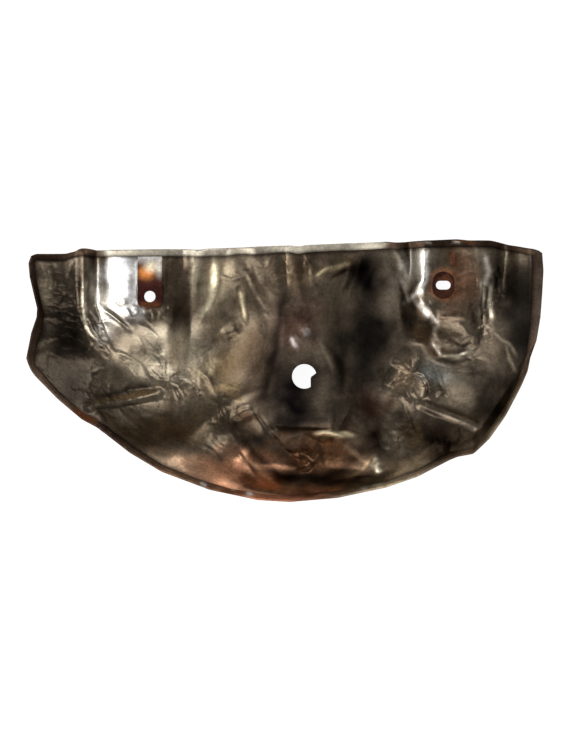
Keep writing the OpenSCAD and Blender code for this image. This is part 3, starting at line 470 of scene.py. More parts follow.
# How far each of these takes to fade, and how pale the hem gets
FADE_ABOVE, FADE_FROM, FADE_TO, RUBBED_SHARE = 6, 10, 12, 0.85
# Soot on the hem: how strong, how fast it fades outwards, how much less where it is clean, and how dull
HEM_SOOT_SHARE, HEM_SOOT_POWER, CLEAN_SHARE, HEM_DULL_SHARE = 0.85, 3, 0.9, 0.5
# How strong the line of soot on the foil beside the hem is
SOOT_LINE_SHARE = 0.7
# How the edges of colours wander: (reach, size, seed). The patches have two waves to the right and two up
PATCH_WANDER = [(9, 24, 11), (4, 9, 12)], [(9, 24, 13), (4, 9, 14)]
LINE_WANDER, SOOT_WANDER = (1.2, 8, 15), (6, 15, 61)
STEEL_RUST_WANDER, FOIL_RUST_WANDER = (5, 11, 31), (3, 7, 51)
# Waves of the foil (height, size, seed), and crumples (height, size, seed, how narrow their creases are)
WAVES = [(0.6, 23, 41), (0.35, 9, 44)]
CRUMPLES = [(0.5, 13, 42, 3), (0.3, 6, 45, 2)]
# Share of the crumples and of all the foil's relief in its smoothest places, and how firm the calm ones are
LEAST_CRUMPLED, LEAST_RELIEF, CALM_SHARE = 0.15, 0.35, 1.2
# A facet of the foil rises from its crease over this share of its size
FACET_SLOPE = 0.55
# Height and width of the foil's lip round each window
LIP_H, LIP_W = 0.35, 1.2
# Hammer marks on the hem (height, size, seed), and how uneven its width is (share, size, seed)
HAMMER_MARKS = [(0.075, 13, 21), (0.045, 5, 22)]
RAGGED = (0.12, 17, 5)
# Round of the fold: (share of its height, share of its radius that it stands back)
FOLD_ROUND = [(0.15, 0.3), (0.5, 0), (0.85, 0.3)]
# How far the two hidden edges in the fold stand back from it, and how far its underside follows its top
FOLD_INSET, UNDER_SHARE = OUTER_T + 2 * GAP, 0.8

# Ground colours under the patches
BACK_CODE, BACK_SHARE, FRONT_CODE, FOIL_CODE = "#6b5f50", 0.75, "#4a2c24", "#6f6354"
HEM_CODE, RUBBED_CODE, HEM_SOOT_CODE, FOIL_SOOT_CODE = "#5a493c", "#e4dac6", "#17110d", "#16110d"

# How many cells the fine grid has, and how many of them lie under the folded edge on each side
CELLS_X, CELLS_Y, HEM_CELLS = 360, 184, 3
# Where those cells begin and end, as shares of the hem's width
HEM_SHARES = (0, 0.3, 0.65, 1)
# The hidden sides have cells this many times as wide
BLOCK = 2
# How many cells inside the hem the foil's relief takes to start, and how wide its line of soot is
CLEAR_CELLS, SOOT_CELLS = 8, 3.5
# Size of the tables that noise is drawn from
TABLE = 128
# Creases, and lines of stain and painted light: how far they reach in their own widths, how far past their
# ends, and how fast they rise there
CREASE_REACH, CREASE_PAST, CREASE_RISE = 5, 0.04, 4.5
LINE_REACH, LINE_PAST, LINE_RISE = 4, 0.05, 6
# How often and with what step the grid is drawn up to a hole's edge
DRAWS, PROBE = 3, 0.05
# Edges bent more than this look sharp
SHARP_DEGREES = 55


def ease(v):
    """A smooth step from 0 to 1."""
    c = np.clip(v, 0, 1)
    return c * c * (3 - 2 * c)


def mix(a, b, share):
    return a + (b - a) * share


def bell(v):
    """A round bump, 1 in its middle and 0 from 1 outwards."""
    return (1 + np.cos(np.pi * np.minimum(1, np.abs(v)))) / 2


def soft_min(a, b, width):
    """The lower of two heights, with a round edge where they meet."""
    share = np.clip(0.5 + 0.5 * (b - a) / width, 0, 1)
    return mix(b, a, share) - width * share * (1 - share)


def smooth_edge(points, samples=900, reach=7):
    """An edge's points as a dense curve with its kinks rounded, as thin metal bends."""
    p = np.array(points, float)
    v = np.linspace(p[0, 0], p[-1, 0], samples)
    w = np.interp(v, p[:, 0], p[:, 1])
    kernel = np.hanning(2 * reach + 1)
    padded = np.concatenate([2 * w[0] - w[reach:0:-1], w, 2 * w[-1] - w[-2:-reach - 2:-1]])
    return v, np.convolve(padded, kernel / kernel.sum(), "valid")


EDGES = {name: smooth_edge(points) for name, points in
         (("top", TOP_EDGE), ("bottom", BOTTOM_EDGE), ("left", LEFT_EDGE), ("right", RIGHT_EDGE))}


def on_edge(name, share):
    """Both coordinates of an edge at a share of the way along it."""
    v, w = EDGES[name]
    at = mix(v[0], v[-1], share)
    return at, np.interp(at, v, w)


def top_point(s):
    return np.stack(on_edge("top", s), -1)


def bottom_point(s):
    return np.stack(on_edge("bottom", s), -1)


def side_point(name, t):
    up, right = on_edge(name, 1 - t)
    return np.stack([right, up], -1)


def edge_length(s):
    """Length of the straight cut from the top edge to the bottom edge."""
    return np.linalg.norm(bottom_point(s) - top_point(s), axis=-1)


def lean(s):
    """How much longer a cut straight down through the curved rim is than a square one."""
    d = bottom_point(np.minimum(1, s + LEAN_STEP)) - bottom_point(np.maximum(0, s - LEAN_STEP))
    return np.minimum(MOST_LEAN, np.linalg.norm(d, axis=-1) / np.abs(d[..., 0]))


def plan(s, t):
    """A point of the outline's plan, blended from its four edges."""
    s1, t1 = s[..., None], t[..., None]
    zero, one = np.array(0.0), np.array(1.0)
    corners = mix(mix(top_point(zero), top_point(one), s1),
                  mix(bottom_point(zero), bottom_point(one), s1), t1)
    return (mix(top_point(s), bottom_point(s), t1)
            + mix(side_point("left", t), side_point("right", t), s1) - corners)


def wall(distance, height, width):
    """Height that a side wall adds at a distance in from the rim."""
    return height * np.clip(1 - distance / width, 0, 1) ** WALL_POWER


def segment(x, y, a, b):
    """Distance from a segment, its side (+ on the left) and the share of the way along it."""
    ax, ay = a
    dx, dy = b[0] - ax, b[1] - ay
    share = np.clip(((x - ax) * dx + (y - ay) * dy) / (dx * dx + dy * dy), 0, 1)
    gap = np.hypot(x - ax - share * dx, y - ay - share * dy)
    side = np.sign(dx * (y - ay) - dy * (x - ax))
    return gap, side, share


def along_path(points, x, y):
    """Distance from a path of straight steps, its side (+ on the left) and the share of the way along."""
    p = np.array(points)
    steps = np.hypot(*np.diff(p, axis=0).T)
    gap, side, way = np.full(x.shape, np.inf), np.ones(x.shape), np.zeros(x.shape)
    passed = 0
    for start, end, step in zip(p, p[1:], steps):
        new_gap, new_side, share = segment(x, y, start, end)
        closer = new_gap < gap
        gap = np.where(closer, new_gap, gap)
        side = np.where(closer, new_side, side)
        way = np.where(closer, (passed + share * step) / steps.sum(), way)
        passed += step
    return gap, side, way


def close_to(points, x, y, reach):
    """Which places lie in the box round a path, widened by a reach."""
    p = np.array(points)
    return ((x > p[:, 0].min() - reach) & (x < p[:, 0].max() + reach)
            & (y > p[:, 1].min() - reach) & (y < p[:, 1].max() + reach))


def crease_height(x, y):
    """Height that the creases and dents add. Where folds meet, the highest one shows."""
    raised, sunk = np.zeros_like(x), np.zeros_like(x)
    for points, height, left_w, right_w, kind in CREASES:
        near = close_to(points, x, y, CREASE_REACH * max(left_w, right_w))
        gap, side, way = along_path(points, x[near], y[near])
        width = np.where(side > 0, left_w, right_w)
        to_end = np.minimum(way + CREASE_PAST, 1 + CREASE_PAST - way)
        ends = np.sqrt(np.clip(CREASE_RISE * to_end, 0, 1))
        shape = height * ends * (np.exp(-gap / width) if kind == "sharp" else np.exp(-(gap / width) ** 2))
        if height > 0:
            raised[near] = np.maximum(raised[near], shape)
        else:
            sunk[near] = np.minimum(sunk[near], shape)
    return raised + sunk


def cells_at(x, y, cell):
    """The places in cells of a given size, and the cell that each is in."""
    u, v = x / cell + TABLE / 2, y / cell + TABLE / 2
    return u, v, np.floor(u).astype(int), np.floor(v).astype(int)


def lattice(x, y, cell, seed):
    """Smooth noise from -1 to 1, with bumps of a given size."""
    table = np.random.RandomState(seed).uniform(-1, 1, (TABLE, TABLE))
    u, v, i, j = cells_at(x, y, cell)
    a, b = ease(u - i), ease(v - j)
    i, j = i % (TABLE - 1), j % (TABLE - 1)
    return mix(mix(table[i, j], table[i + 1, j], a), mix(table[i, j + 1], table[i + 1, j + 1], a), b)


def facets(x, y, cell, seed):
    """Flat facets with creases between them, as crumpled foil has: 0 at a crease, up to 1 inside."""
    shift = np.random.RandomState(seed).uniform(0.1, 0.9, (TABLE, TABLE, 2))
    u, v, i, j = cells_at(x, y, cell)
    first, second = np.full(x.shape, np.inf), np.full(x.shape, np.inf)
    for di in (-1, 0, 1):
        for dj in (-1, 0, 1):
            a, b = (i + di) % TABLE, (j + dj) % TABLE
            d = np.hypot(i + di + shift[a, b, 0] - u, j + dj + shift[a, b, 1] - v)
            second = np.minimum(second, np.maximum(first, d))
            first = np.minimum(first, d)
    return np.clip((second - first) / FACET_SLOPE, 0, 1)


def shaken(x, y, reach, cell, seed):
    """The places moved about by smooth noise, so that the edges of a colour wander."""
    return x + reach * lattice(x, y, cell, seed), y + reach * lattice(x, y, cell, seed + 1)


def spots(x, y, places):
    """1 in the middle of the given (right, up, half width, half length) spots, fading outwards."""
    share = np.zeros_like(x)
    for cx, cy, rx, ry in places:
        share = np.maximum(share, 1 - ease(np.hypot((x - cx) / rx, (y - cy) / ry)))
    return share


def pressed_height(s, t, p):
    """Height of the pressed form above the floor."""
    x, y = p[..., 0], p[..., 1]
    length = edge_length(s)
    from_rim = (1 - t) * length / lean(s)
    walls = [wall(from_rim, RIM_H - LAND_H, RIM_WALL_W),
             wall(s * SHIELD_W, LEFT_RIM_H - LAND_H, LEFT_WALL_W),
             wall((1 - s) * SHIELD_W - RIGHT_LIP_W, RIGHT_RIM_H - LAND_H, RIGHT_WALL_W),
             (TOP_RIM_H - LAND_H) * (1 - ease(t * length / TOP_WALL_W))]
    z = LAND_H + sum(w ** CORNER_POWER for w in walls) ** (1 / CORNER_POWER)
    flute = sum(share * bell((x - right) / FLUTE_R) for right, share in FLUTES)
    z = z + ease((y - FLUTE_END) / FLUTE_FADE) * FLUTE_DEPTH * flute
    dish = z
    for right, up, half_w, above, below, turn, floor_h, power in BOWLS:
        c, n = math.cos(math.radians(turn)), math.sin(math.radians(turn))
        u, v = x - right, y - up
        over = v * c - u * n
        share = np.hypot((u * c + v * n) / half_w, over / np.where(over > 0, above, below))
        dish = soft_min(dish, floor_h + (LAND_H - floor_h) * share ** power, BOWL_EDGE)
    z = mix(z, dish, ease(from_rim / STEEP_WALL_W))
    z = z + np.max([height * bell(segment(x, y, a, b)[0] / r) for a, b, height, r in RIDGES], 0)
    blister = np.hypot(x - BLISTER[0], y - BLISTER[1]) / BLISTER_R
    z = z + BLISTER_H * (1 - ease((blister - BLISTER_TOP) / (1 - BLISTER_TOP)))
    seat = np.hypot(x - CENTRE[0], y - CENTRE[1])
    z = mix(z, LAND_H, 1 - ease((seat - SEAT_R) / SEAT_SLOPE))
    for middle, width, lower_end, slope, left_side in (LEFT_PAD, RIGHT_PAD):
        left_share = ease(1 - (middle - width / 2 - x) / left_side)
        right_share = ease(1 - (x - middle - width / 2) / PAD_SIDE)
        share = left_share * right_share * ease(1 - (lower_end - y) / slope)
        z = mix(z, PAD_H, share)
    return z


def stations(cells, first, last):
    """Shares of the way across at each grid line. The outer cells share the width of the hem."""
    inside = np.linspace(first, 1 - last, cells - 2 * HEM_CELLS + 1, axis=-1)
    start = np.stack([first * k for k in HEM_SHARES[:-1]], -1)
    end = np.stack([1 - last * k for k in HEM_SHARES[-2::-1]], -1)
    return np.concatenate([start, inside, end], -1)


def make_form():
    """Grid points of the pressed form and its upward normals, row by row from the top edge."""
    s = stations(CELLS_X, np.array(HEM_LEFT_W / SHIELD_W), np.array(HEM_RIGHT_W / SHIELD_W))
    length = edge_length(s)
    share, cell, seed = RAGGED
    ragged = 1 + share * lattice(s * SHIELD_W, 0 * s, cell, seed)
    t = stations(CELLS_Y, ragged * HEM_TOP_W / length, ragged * HEM_BOTTOM_W * lean(s) / length).T
    s = np.broadcast_to(s, t.shape)
    p = plan(s, t)
    z = pressed_height(s, t, p)
    rows = np.dstack([p, z + crease_height(p[..., 0], p[..., 1])])
    normal = np.cross(np.gradient(rows, axis=1), -np.gradient(rows, axis=0))
    return rows, normal / np.linalg.norm(normal, axis=-1, keepdims=True)


def circle(x, y, middle, r):
    """Distance outside a round hole."""
    return np.hypot(x - middle[0], y - middle[1]) - r


def stadium(x, y, middle, length, width):
    """Distance outside a long hole with round ends. The hole is upright if width is the greater."""
    r, reach = min(length, width) / 2, abs(length - width) / 2
    u, v = x - middle[0], y - middle[1]
    if length > width:
        return np.hypot(np.maximum(np.abs(u) - reach, 0), v) - r
    return np.hypot(u, np.maximum(np.abs(v) - reach, 0)) - r


def window(x, y):
    """Distance outside the window round the left hole, which runs out under the top edge."""
    u = np.abs(x - BOLT_HOLE[0]) - WINDOW_W / 2 + WINDOW_CORNER_R
    v = BOLT_HOLE[1] - WINDOW_BELOW + WINDOW_CORNER_R - y
    outside = np.hypot(np.maximum(u, 0), np.maximum(v, 0))
    return outside + np.minimum(np.maximum(u, v), 0) - WINDOW_CORNER_R


def centre_hole(x, y, r):
    """Distance outside the centre hole, less the lug that stands in it at the lower right."""
    above = (x - LUG_CORNER[0]) * LUG_FACES[0] + (y - LUG_CORNER[1]) * LUG_FACES[1]
    lug = np.maximum(above, LUG_LEFT - x)
    return np.maximum(circle(x, y, CENTRE, r), -lug)


def cut_holes(points, holes):
    """The cells that stay, with the grid drawn up to the outline of each hole."""
    points = points.copy()
    x, y = points[..., 0], points[..., 1]
    keep = np.ones((CELLS_Y, CELLS_X), bool)
    middle_x = (x[:-1, :-1] + x[1:, :-1] + x[:-1, 1:] + x[1:, 1:]) / 4
    middle_y = (y[:-1, :-1] + y[1:, :-1] + y[:-1, 1:] + y[1:, 1:]) / 4
    for distance in holes:
        inside = distance(middle_x, middle_y) < 0
        keep &= ~inside
        padded = np.pad(inside, 1)
        touch = np.stack([padded[:-1, :-1], padded[1:, :-1], padded[:-1, 1:], padded[1:, 1:]])
        rim = touch.any(0) & ~touch.all(0)
        for _ in range(DRAWS):
            d = distance(x, y)
            gx = (distance(x + PROBE, y) - d) / PROBE
            gy = (distance(x, y + PROBE) - d) / PROBE
            x = np.where(rim, x - d * gx, x)
            y = np.where(rim, y - d * gy, y)
    points[..., 0], points[..., 1] = x, y
    return points, keep


def number(j, i):
    """A grid point's place in the list of points."""
    return j * (CELLS_X + 1) + i


def fine_faces(keep, base=0):
    """One face for each cell that stays, facing up."""
    corners = (0, 0), (1, 0), (1, 1), (0, 1)
    return [tuple(number(j + dj, i + di) + base for dj, di in corners) for j, i in np.argwhere(keep).tolist()]


def plain_faces(keep, base):
    """The hidden side, facing down: large faces, with small ones only along edges and holes."""
    padded = np.pad(keep, 1)
    whole = np.ones((CELLS_Y // BLOCK, CELLS_X // BLOCK), bool)
    for dj in range(BLOCK + 2):
        for di in range(BLOCK + 2):
            part = padded[dj:dj + CELLS_Y:BLOCK, di:di + CELLS_X:BLOCK]
            whole &= part[:whole.shape[0], :whole.shape[1]]
    around = np.pad(whole, 1)
    faces = []
    for b, a in np.argwhere(whole).tolist():
        j, i = b * BLOCK, a * BLOCK
        sides = (((j, i), (0, 1), around[b, a + 1]), ((j, i + BLOCK), (1, 0), around[b + 1, a + 2]),
                 ((j + BLOCK, i + BLOCK), (0, -1), around[b + 2, a + 1]),
                 ((j + BLOCK, i), (-1, 0), around[b + 1, a]))
        loop = []
        for (sj, si), (dj, di), plain in sides:
            steps = (0,) if plain else range(BLOCK)
            loop += [number(sj + dj * k, si + di * k) + base for k in steps]
        faces.append(tuple(loop))
    small = keep & ~np.repeat(np.repeat(whole, BLOCK, 0), BLOCK, 1)
    faces += [face[::-1] for face in fine_faces(small, base)]
    return faces


def edge_faces(keep, top, bottom, skip_outline=False):
    """The narrow faces that join the two sides round the outline and in each hole."""
    padded = np.pad(keep, 1)
    faces = []
    for dj, di, ends in ((-1, 0, ((0, 1), (0, 0))), (1, 0, ((1, 0), (1, 1))),
                         (0, -1, ((0, 0), (1, 0))), (0, 1, ((1, 1), (0, 1)))):
        neighbour = padded[1 + dj:CELLS_Y + 1 + dj, 1 + di:CELLS_X + 1 + di]
        open_side = keep & ~neighbour
        if skip_outline:
            within = np.zeros_like(keep)
            within[1:-1, 1:-1] = True
            open_side &= within
        for j, i in np.argwhere(open_side).tolist():
            a, b = [number(j + ej, i + ei) for ej, ei in ends]
            faces.append((a + top, b + top, b + bottom, a + bottom))
    return faces


def linear(code):
    """An sRGB hex colour as linear RGB with alpha."""
    channels = [int(code[k:k + 2], 16) / 255 for k in (1, 3, 5)]
    return tuple(c / 12.92 if c <= 0.04045 else ((c + 0.055) / 1.055) ** 2.4 for c in channels) + (1,)


def tint_colours(x, y, ground, patches=TINTS_AND_PAINTED_LIGHT, wander=1):
    """Soft patches over the ground colour: the temper colours that heat and soot left, and among the foil's
    patches painted shade and painted highlights.
    """
    warp_x, warp_y = [wander * sum(reach * lattice(x, y, cell, seed) for reach, cell, seed in waves)
                      for waves in PATCH_WANDER]
    colour = np.ones(x.shape + (4,)) * linear(ground)
    for code, strength, place in patches:
        share = strength * spots(x + warp_x, y + warp_y, [place])
        colour = mix(colour, np.array(linear(code)), share[..., None])
    return colour


def marked_along_lines(colour, x, y, line_marks):
    """The colours with the given lines of colour over them: salt on the hem, and rust, painted highlights and
    painted shade on the foil.
    """
    u, v = shaken(x, y, *LINE_WANDER)
    for code, strength, half_w, points in line_marks:
        near = close_to(points, x, y, LINE_REACH * half_w)
        gap, _, way = along_path(points, u[near], v[near])
        to_end = np.minimum(way + LINE_PAST, 1 + LINE_PAST - way)
        share = strength * np.exp(-(gap / half_w) ** 2) * ease(LINE_RISE * to_end)
        colour[near] = mix(colour[near], np.array(linear(code)), share[..., None])
    return colour


def build_piece(name, points, faces, colours, rust, soot, room):
    """A closed mesh from points in millimetres, with its tint, rust and soot at each point."""
    used = np.zeros(len(points), bool)
    for face in faces:
        used[list(face)] = True
    index = np.cumsum(used) - 1
    scale, shift = room
    mesh = bpy.data.meshes.new(name)
    mesh.from_pydata(((points[used] * scale + shift) * MM).tolist(), [],
                     [tuple(index[list(face)].tolist()) for face in faces])
    tint = mesh.attributes.new("tint", "FLOAT_COLOR", "POINT")
    tint.data.foreach_set("color", colours[used].ravel())
    for layer, values in (("rust", rust), ("soot", soot)):
        share = mesh.attributes.new(layer, "FLOAT", "POINT")
        share.data.foreach_set("value", values[used].ravel())
    mesh.polygons.foreach_set("use_smooth", np.ones(len(mesh.polygons), bool))
    mesh.set_sharp_from_angle(angle=math.radians(SHARP_DEGREES))
    piece = bpy.data.objects.new(name, mesh)
    bpy.context.scene.collection.objects.link(piece)
    return piece


def outline_loop():
    """The grid's outer points in order, clockwise from the top left corner."""
    return ([(0, i) for i in range(CELLS_X)] + [(j, CELLS_X) for j in range(CELLS_Y)]
            + [(CELLS_Y, i) for i in range(CELLS_X, 0, -1)] + [(j, 0) for j in range(CELLS_Y, 0, -1)])


def drawn_in(layer, amount):
    """The layer with its outline drawn inwards."""
    layer = layer.copy()
    j, i = np.array(outline_loop()).T
    inner = layer[np.clip(j, 1, CELLS_Y - 1), np.clip(i, 1, CELLS_X - 1)]
    way = inner - layer[j, i]
    layer[j, i] += amount * way / np.linalg.norm(way, axis=-1, keepdims=True)
    return layer


def strip_faces(first, second):
    """Faces between two closed loops of points."""
    steps = zip(first, first[1:] + first[:1], second, second[1:] + second[:1])
    return [(a, b, d, c) for a, b, c, d in steps]


rows, normals = make_form()
x, y = rows[..., 0], rows[..., 1]
hem_share = np.zeros(rows.shape[:2])
for depth, share in enumerate(HEM_SHARES):
    hem_share[depth:CELLS_Y + 1 - depth, depth:CELLS_X + 1 - depth] = share
fold_lift = (FOLD_H - STACK_T) * (1 - hem_share)

# Outer sheet: its back, its front, the fold over the liner, and the round of the fold
outer_rows, outer_keep = cut_holes(rows, [
    lambda u, v: circle(u, v, BOLT_HOLE, BOLT_HOLE_R),
    lambda u, v: stadium(u, v, SLOT, SLOT_L, SLOT_W),
    lambda u, v: centre_hole(u, v, CENTRE_R)])
hammered = (1 - hem_share) * sum(height * lattice(x, y, cell, seed) for height, cell, seed in HAMMER_MARKS)
over = outer_rows + normals * (STACK_T + fold_lift + hammered)[..., None]
under = outer_rows + normals * (STACK_T - OUTER_T + UNDER_SHARE * fold_lift)[..., None]
layers = [drawn_in(outer_rows, FOLD_R), drawn_in(outer_rows + normals * OUTER_T, FOLD_INSET),
          drawn_in(under, FOLD_INSET), drawn_in(over, FOLD_R)]
grid_size = (CELLS_X + 1) * (CELLS_Y + 1)
loop = outline_loop()
loop_j, loop_i = np.array(loop).T
rings = [drawn_in(outer_rows + normals * FOLD_H * up, FOLD_R * back)[loop_j, loop_i]
         for up, back in FOLD_ROUND]
loop_at = [[number(j, i) + base * grid_size for j, i in loop] for base in range(4)]
ring_at = [list(range(4 * grid_size + k * len(loop), 4 * grid_size + (k + 1) * len(loop))) for k in range(3)]
hem_keep = np.ones_like(outer_keep)
hem_keep[HEM_CELLS:-HEM_CELLS, HEM_CELLS:-HEM_CELLS] = False
outer_faces = [face[::-1] for face in fine_faces(outer_keep)]
outer_faces += [face[::-1] for face in plain_faces(outer_keep, grid_size)]
outer_faces += [face[::-1] for face in fine_faces(hem_keep, 2 * grid_size)]
outer_faces += fine_faces(hem_keep, 3 * grid_size)
outer_faces += edge_faces(outer_keep, grid_size, 0, skip_outline=True)
outer_faces += edge_faces(hem_keep, 3 * grid_size, 2 * grid_size, skip_outline=True)
for first, second in zip([loop_at[0]] + ring_at, ring_at + [loop_at[3]]):
    outer_faces += strip_faces(first, second)
outer_faces += strip_faces(loop_at[2], loop_at[1])
outer_points = np.concatenate([layer.reshape(-1, 3) for layer in layers] + rings)

room_low, room_high = np.array(cad_low) / MM, np.array(cad_high) / MM
low, high = outer_points.min(0), outer_points.max(0)
scale = np.minimum(1, (room_high - room_low) / (high - low))
shift = (room_low + room_high) / 2 - scale * (low + high) / 2
shift[2] = room_low[2] - scale[2] * low[2]
room = (scale, shift)

back_tint = tint_colours(x, y, BACK_CODE) * BACK_SHARE
rubbed = (ease((y - RUBBED_ABOVE) / FADE_ABOVE) * ease((x - RUBBED_FROM) / FADE_FROM)
          * ease((RUBBED_TO - x) / FADE_TO))
hem_tint = tint_colours(x, y, HEM_CODE, HEM_TINTS, 0.4)
hem_tint = mix(hem_tint, np.array(linear(RUBBED_CODE)), RUBBED_SHARE * rubbed[..., None])
hem_tint = marked_along_lines(hem_tint, x, y, SPECKS)
sooty_edge = 1 - CLEAN_SHARE * spots(x, y, CLEAN_HEM)
hem_tint = mix(hem_tint, np.array(linear(HEM_SOOT_CODE)),
               HEM_SOOT_SHARE * (sooty_edge * hem_share ** HEM_SOOT_POWER)[..., None])
outer_rust = spots(*shaken(x, y, *STEEL_RUST_WANDER), RUSTED_STEEL)
front_tint = tint_colours(x, y, FRONT_CODE, STEEL_TINTS, 0.15)
tints = [layer.reshape(-1, 4) for layer in (back_tint, front_tint, hem_tint, hem_tint)]
outer_colours = np.concatenate(tints + [hem_tint[loop_j, loop_i]] * 3)
outer_rust = np.concatenate([np.tile(outer_rust.ravel(), 4)] + [outer_rust[loop_j, loop_i]] * 3)
soot = spots(*shaken(x, y, *SOOT_WANDER), SOOTY)
hem_soot = HEM_DULL_SHARE * soot
outer_soot = np.concatenate([np.zeros(3 * grid_size), hem_soot.ravel()] + [hem_soot[loop_j, loop_i]] * 3)
outer_sheet = build_piece("outer_sheet_steel", outer_points, outer_faces, outer_colours, outer_rust,
                          outer_soot, room)

# Liner: it ends under the fold, and its windows lie open over the outer sheet
liner_holes = [window, lambda u, v: stadium(u, v, SLOT, OVAL_W, OVAL_L),
               lambda u, v: centre_hole(u, v, CENTRE_R + CENTRE_RELIEF)]
liner_rows, liner_keep = cut_holes(rows, liner_holes)
for side in (np.s_[0], np.s_[-1], np.s_[:, 0], np.s_[:, -1]):
    liner_keep[side] = False
across, down = np.arange(CELLS_X + 1), np.arange(CELLS_Y + 1)[:, None]
edge_steps = np.minimum(np.minimum(across, CELLS_X - across), np.minimum(down, CELLS_Y - down))
clear_of_hem = ease((edge_steps - HEM_CELLS) / CLEAR_CELLS)
crumpled = mix(LEAST_CRUMPLED, 1, spots(x, y, CRUMPLED))
calm = 1 - ease(CALM_SHARE * spots(x, y, CALM))
lift = sum(height * (0.5 + 0.5 * lattice(x, y, cell, seed)) for height, cell, seed in WAVES)
for height, cell, seed, narrow in CRUMPLES:
    lift = lift + height * crumpled * (1 - facets(x, y, cell, seed)) ** narrow
lift = lift * mix(LEAST_RELIEF, 1, crumpled) * calm * clear_of_hem
# A low lip round each window
from_hole = np.min([np.abs(distance(x, y)) for distance in liner_holes], 0)
lift = lift + LIP_H * np.exp(-from_hole / LIP_W) * clear_of_hem
liner_h = OUTER_T + GAP + lift
liner_low = liner_rows + normals * liner_h[..., None]
liner_top = liner_rows + normals * (liner_h + LINER_T)[..., None]
liner_faces = fine_faces(liner_keep, grid_size) + plain_faces(liner_keep, 0)
liner_faces += edge_faces(liner_keep, grid_size, 0)
soot_line = SOOT_LINE_SHARE * ease(1 - (edge_steps - HEM_CELLS) / SOOT_CELLS) * sooty_edge
liner_colour = marked_along_lines(tint_colours(x, y, FOIL_CODE), x, y, LINES_OF_STAIN_AND_LIGHT)
liner_colour = mix(liner_colour, np.array(linear(FOIL_SOOT_CODE)), soot_line[..., None])
liner_rust = spots(*shaken(x, y, *FOIL_RUST_WANDER), RUSTED_FOIL)
liner_points = np.concatenate([liner_low.reshape(-1, 3), liner_top.reshape(-1, 3)])
liner = build_piece("foil_liner", liner_points, liner_faces, np.tile(liner_colour.reshape(-1, 4), (2, 1)),
                    np.tile(liner_rust.ravel(), 2), np.tile(soot.ravel(), 2), room)

for piece, node, slot_name in ((outer_sheet, "outer_sheet", "outer_sheet"),
                               (liner, "inner_liner", "inner_liner")):
    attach(piece, "root")
    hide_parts(node)


def add(tree, kind, inputs=None, **settings):
    """Adds a node with its settings. An input is a value, or the socket that it is linked to."""
    node = tree.nodes.new(kind)
    for name, value in settings.items():
        setattr(node, name, value)
    for socket, value in (inputs or {}).items():
        if isinstance(value, bpy.types.NodeSocket):
            tree.links.new(value, node.inputs[socket])
        else:
            node.inputs[socket].default_value = value
    return node


def per_mm(size):
    """Texture scale for a pattern of the given size in millimetres, as the nodes work in metres."""
    return 1 / (size * MM)


def new_material(name):
    material = bpy.data.materials.new(name)
    material.use_nodes = True
    material.node_tree.nodes.clear()
    return material, material.node_tree


# Sockets of a node that mixes colours
MIX_FACTOR, MIX_A, MIX_B, MIX_OUT = 0, 6, 7, 2
# The rolling grain and the grit of road salt are under 0.3 mm, too fine to show, so both are drawn coarser
GRAIN_MM, GRIT_MM = 2.2, 3.4
SOOTY_ROUGHNESS, RUSTY_ROUGHNESS = 0.65, 0.85
# How much of the salt's colour shows, and how far the grain breaks up the rust
SALT_SHARE, GRAIN_IN_RUST = 0.6, 0.5
# Old metal stays dull where it is seen at a low angle
LOW_ANGLE_TINT = "#a89c8c"


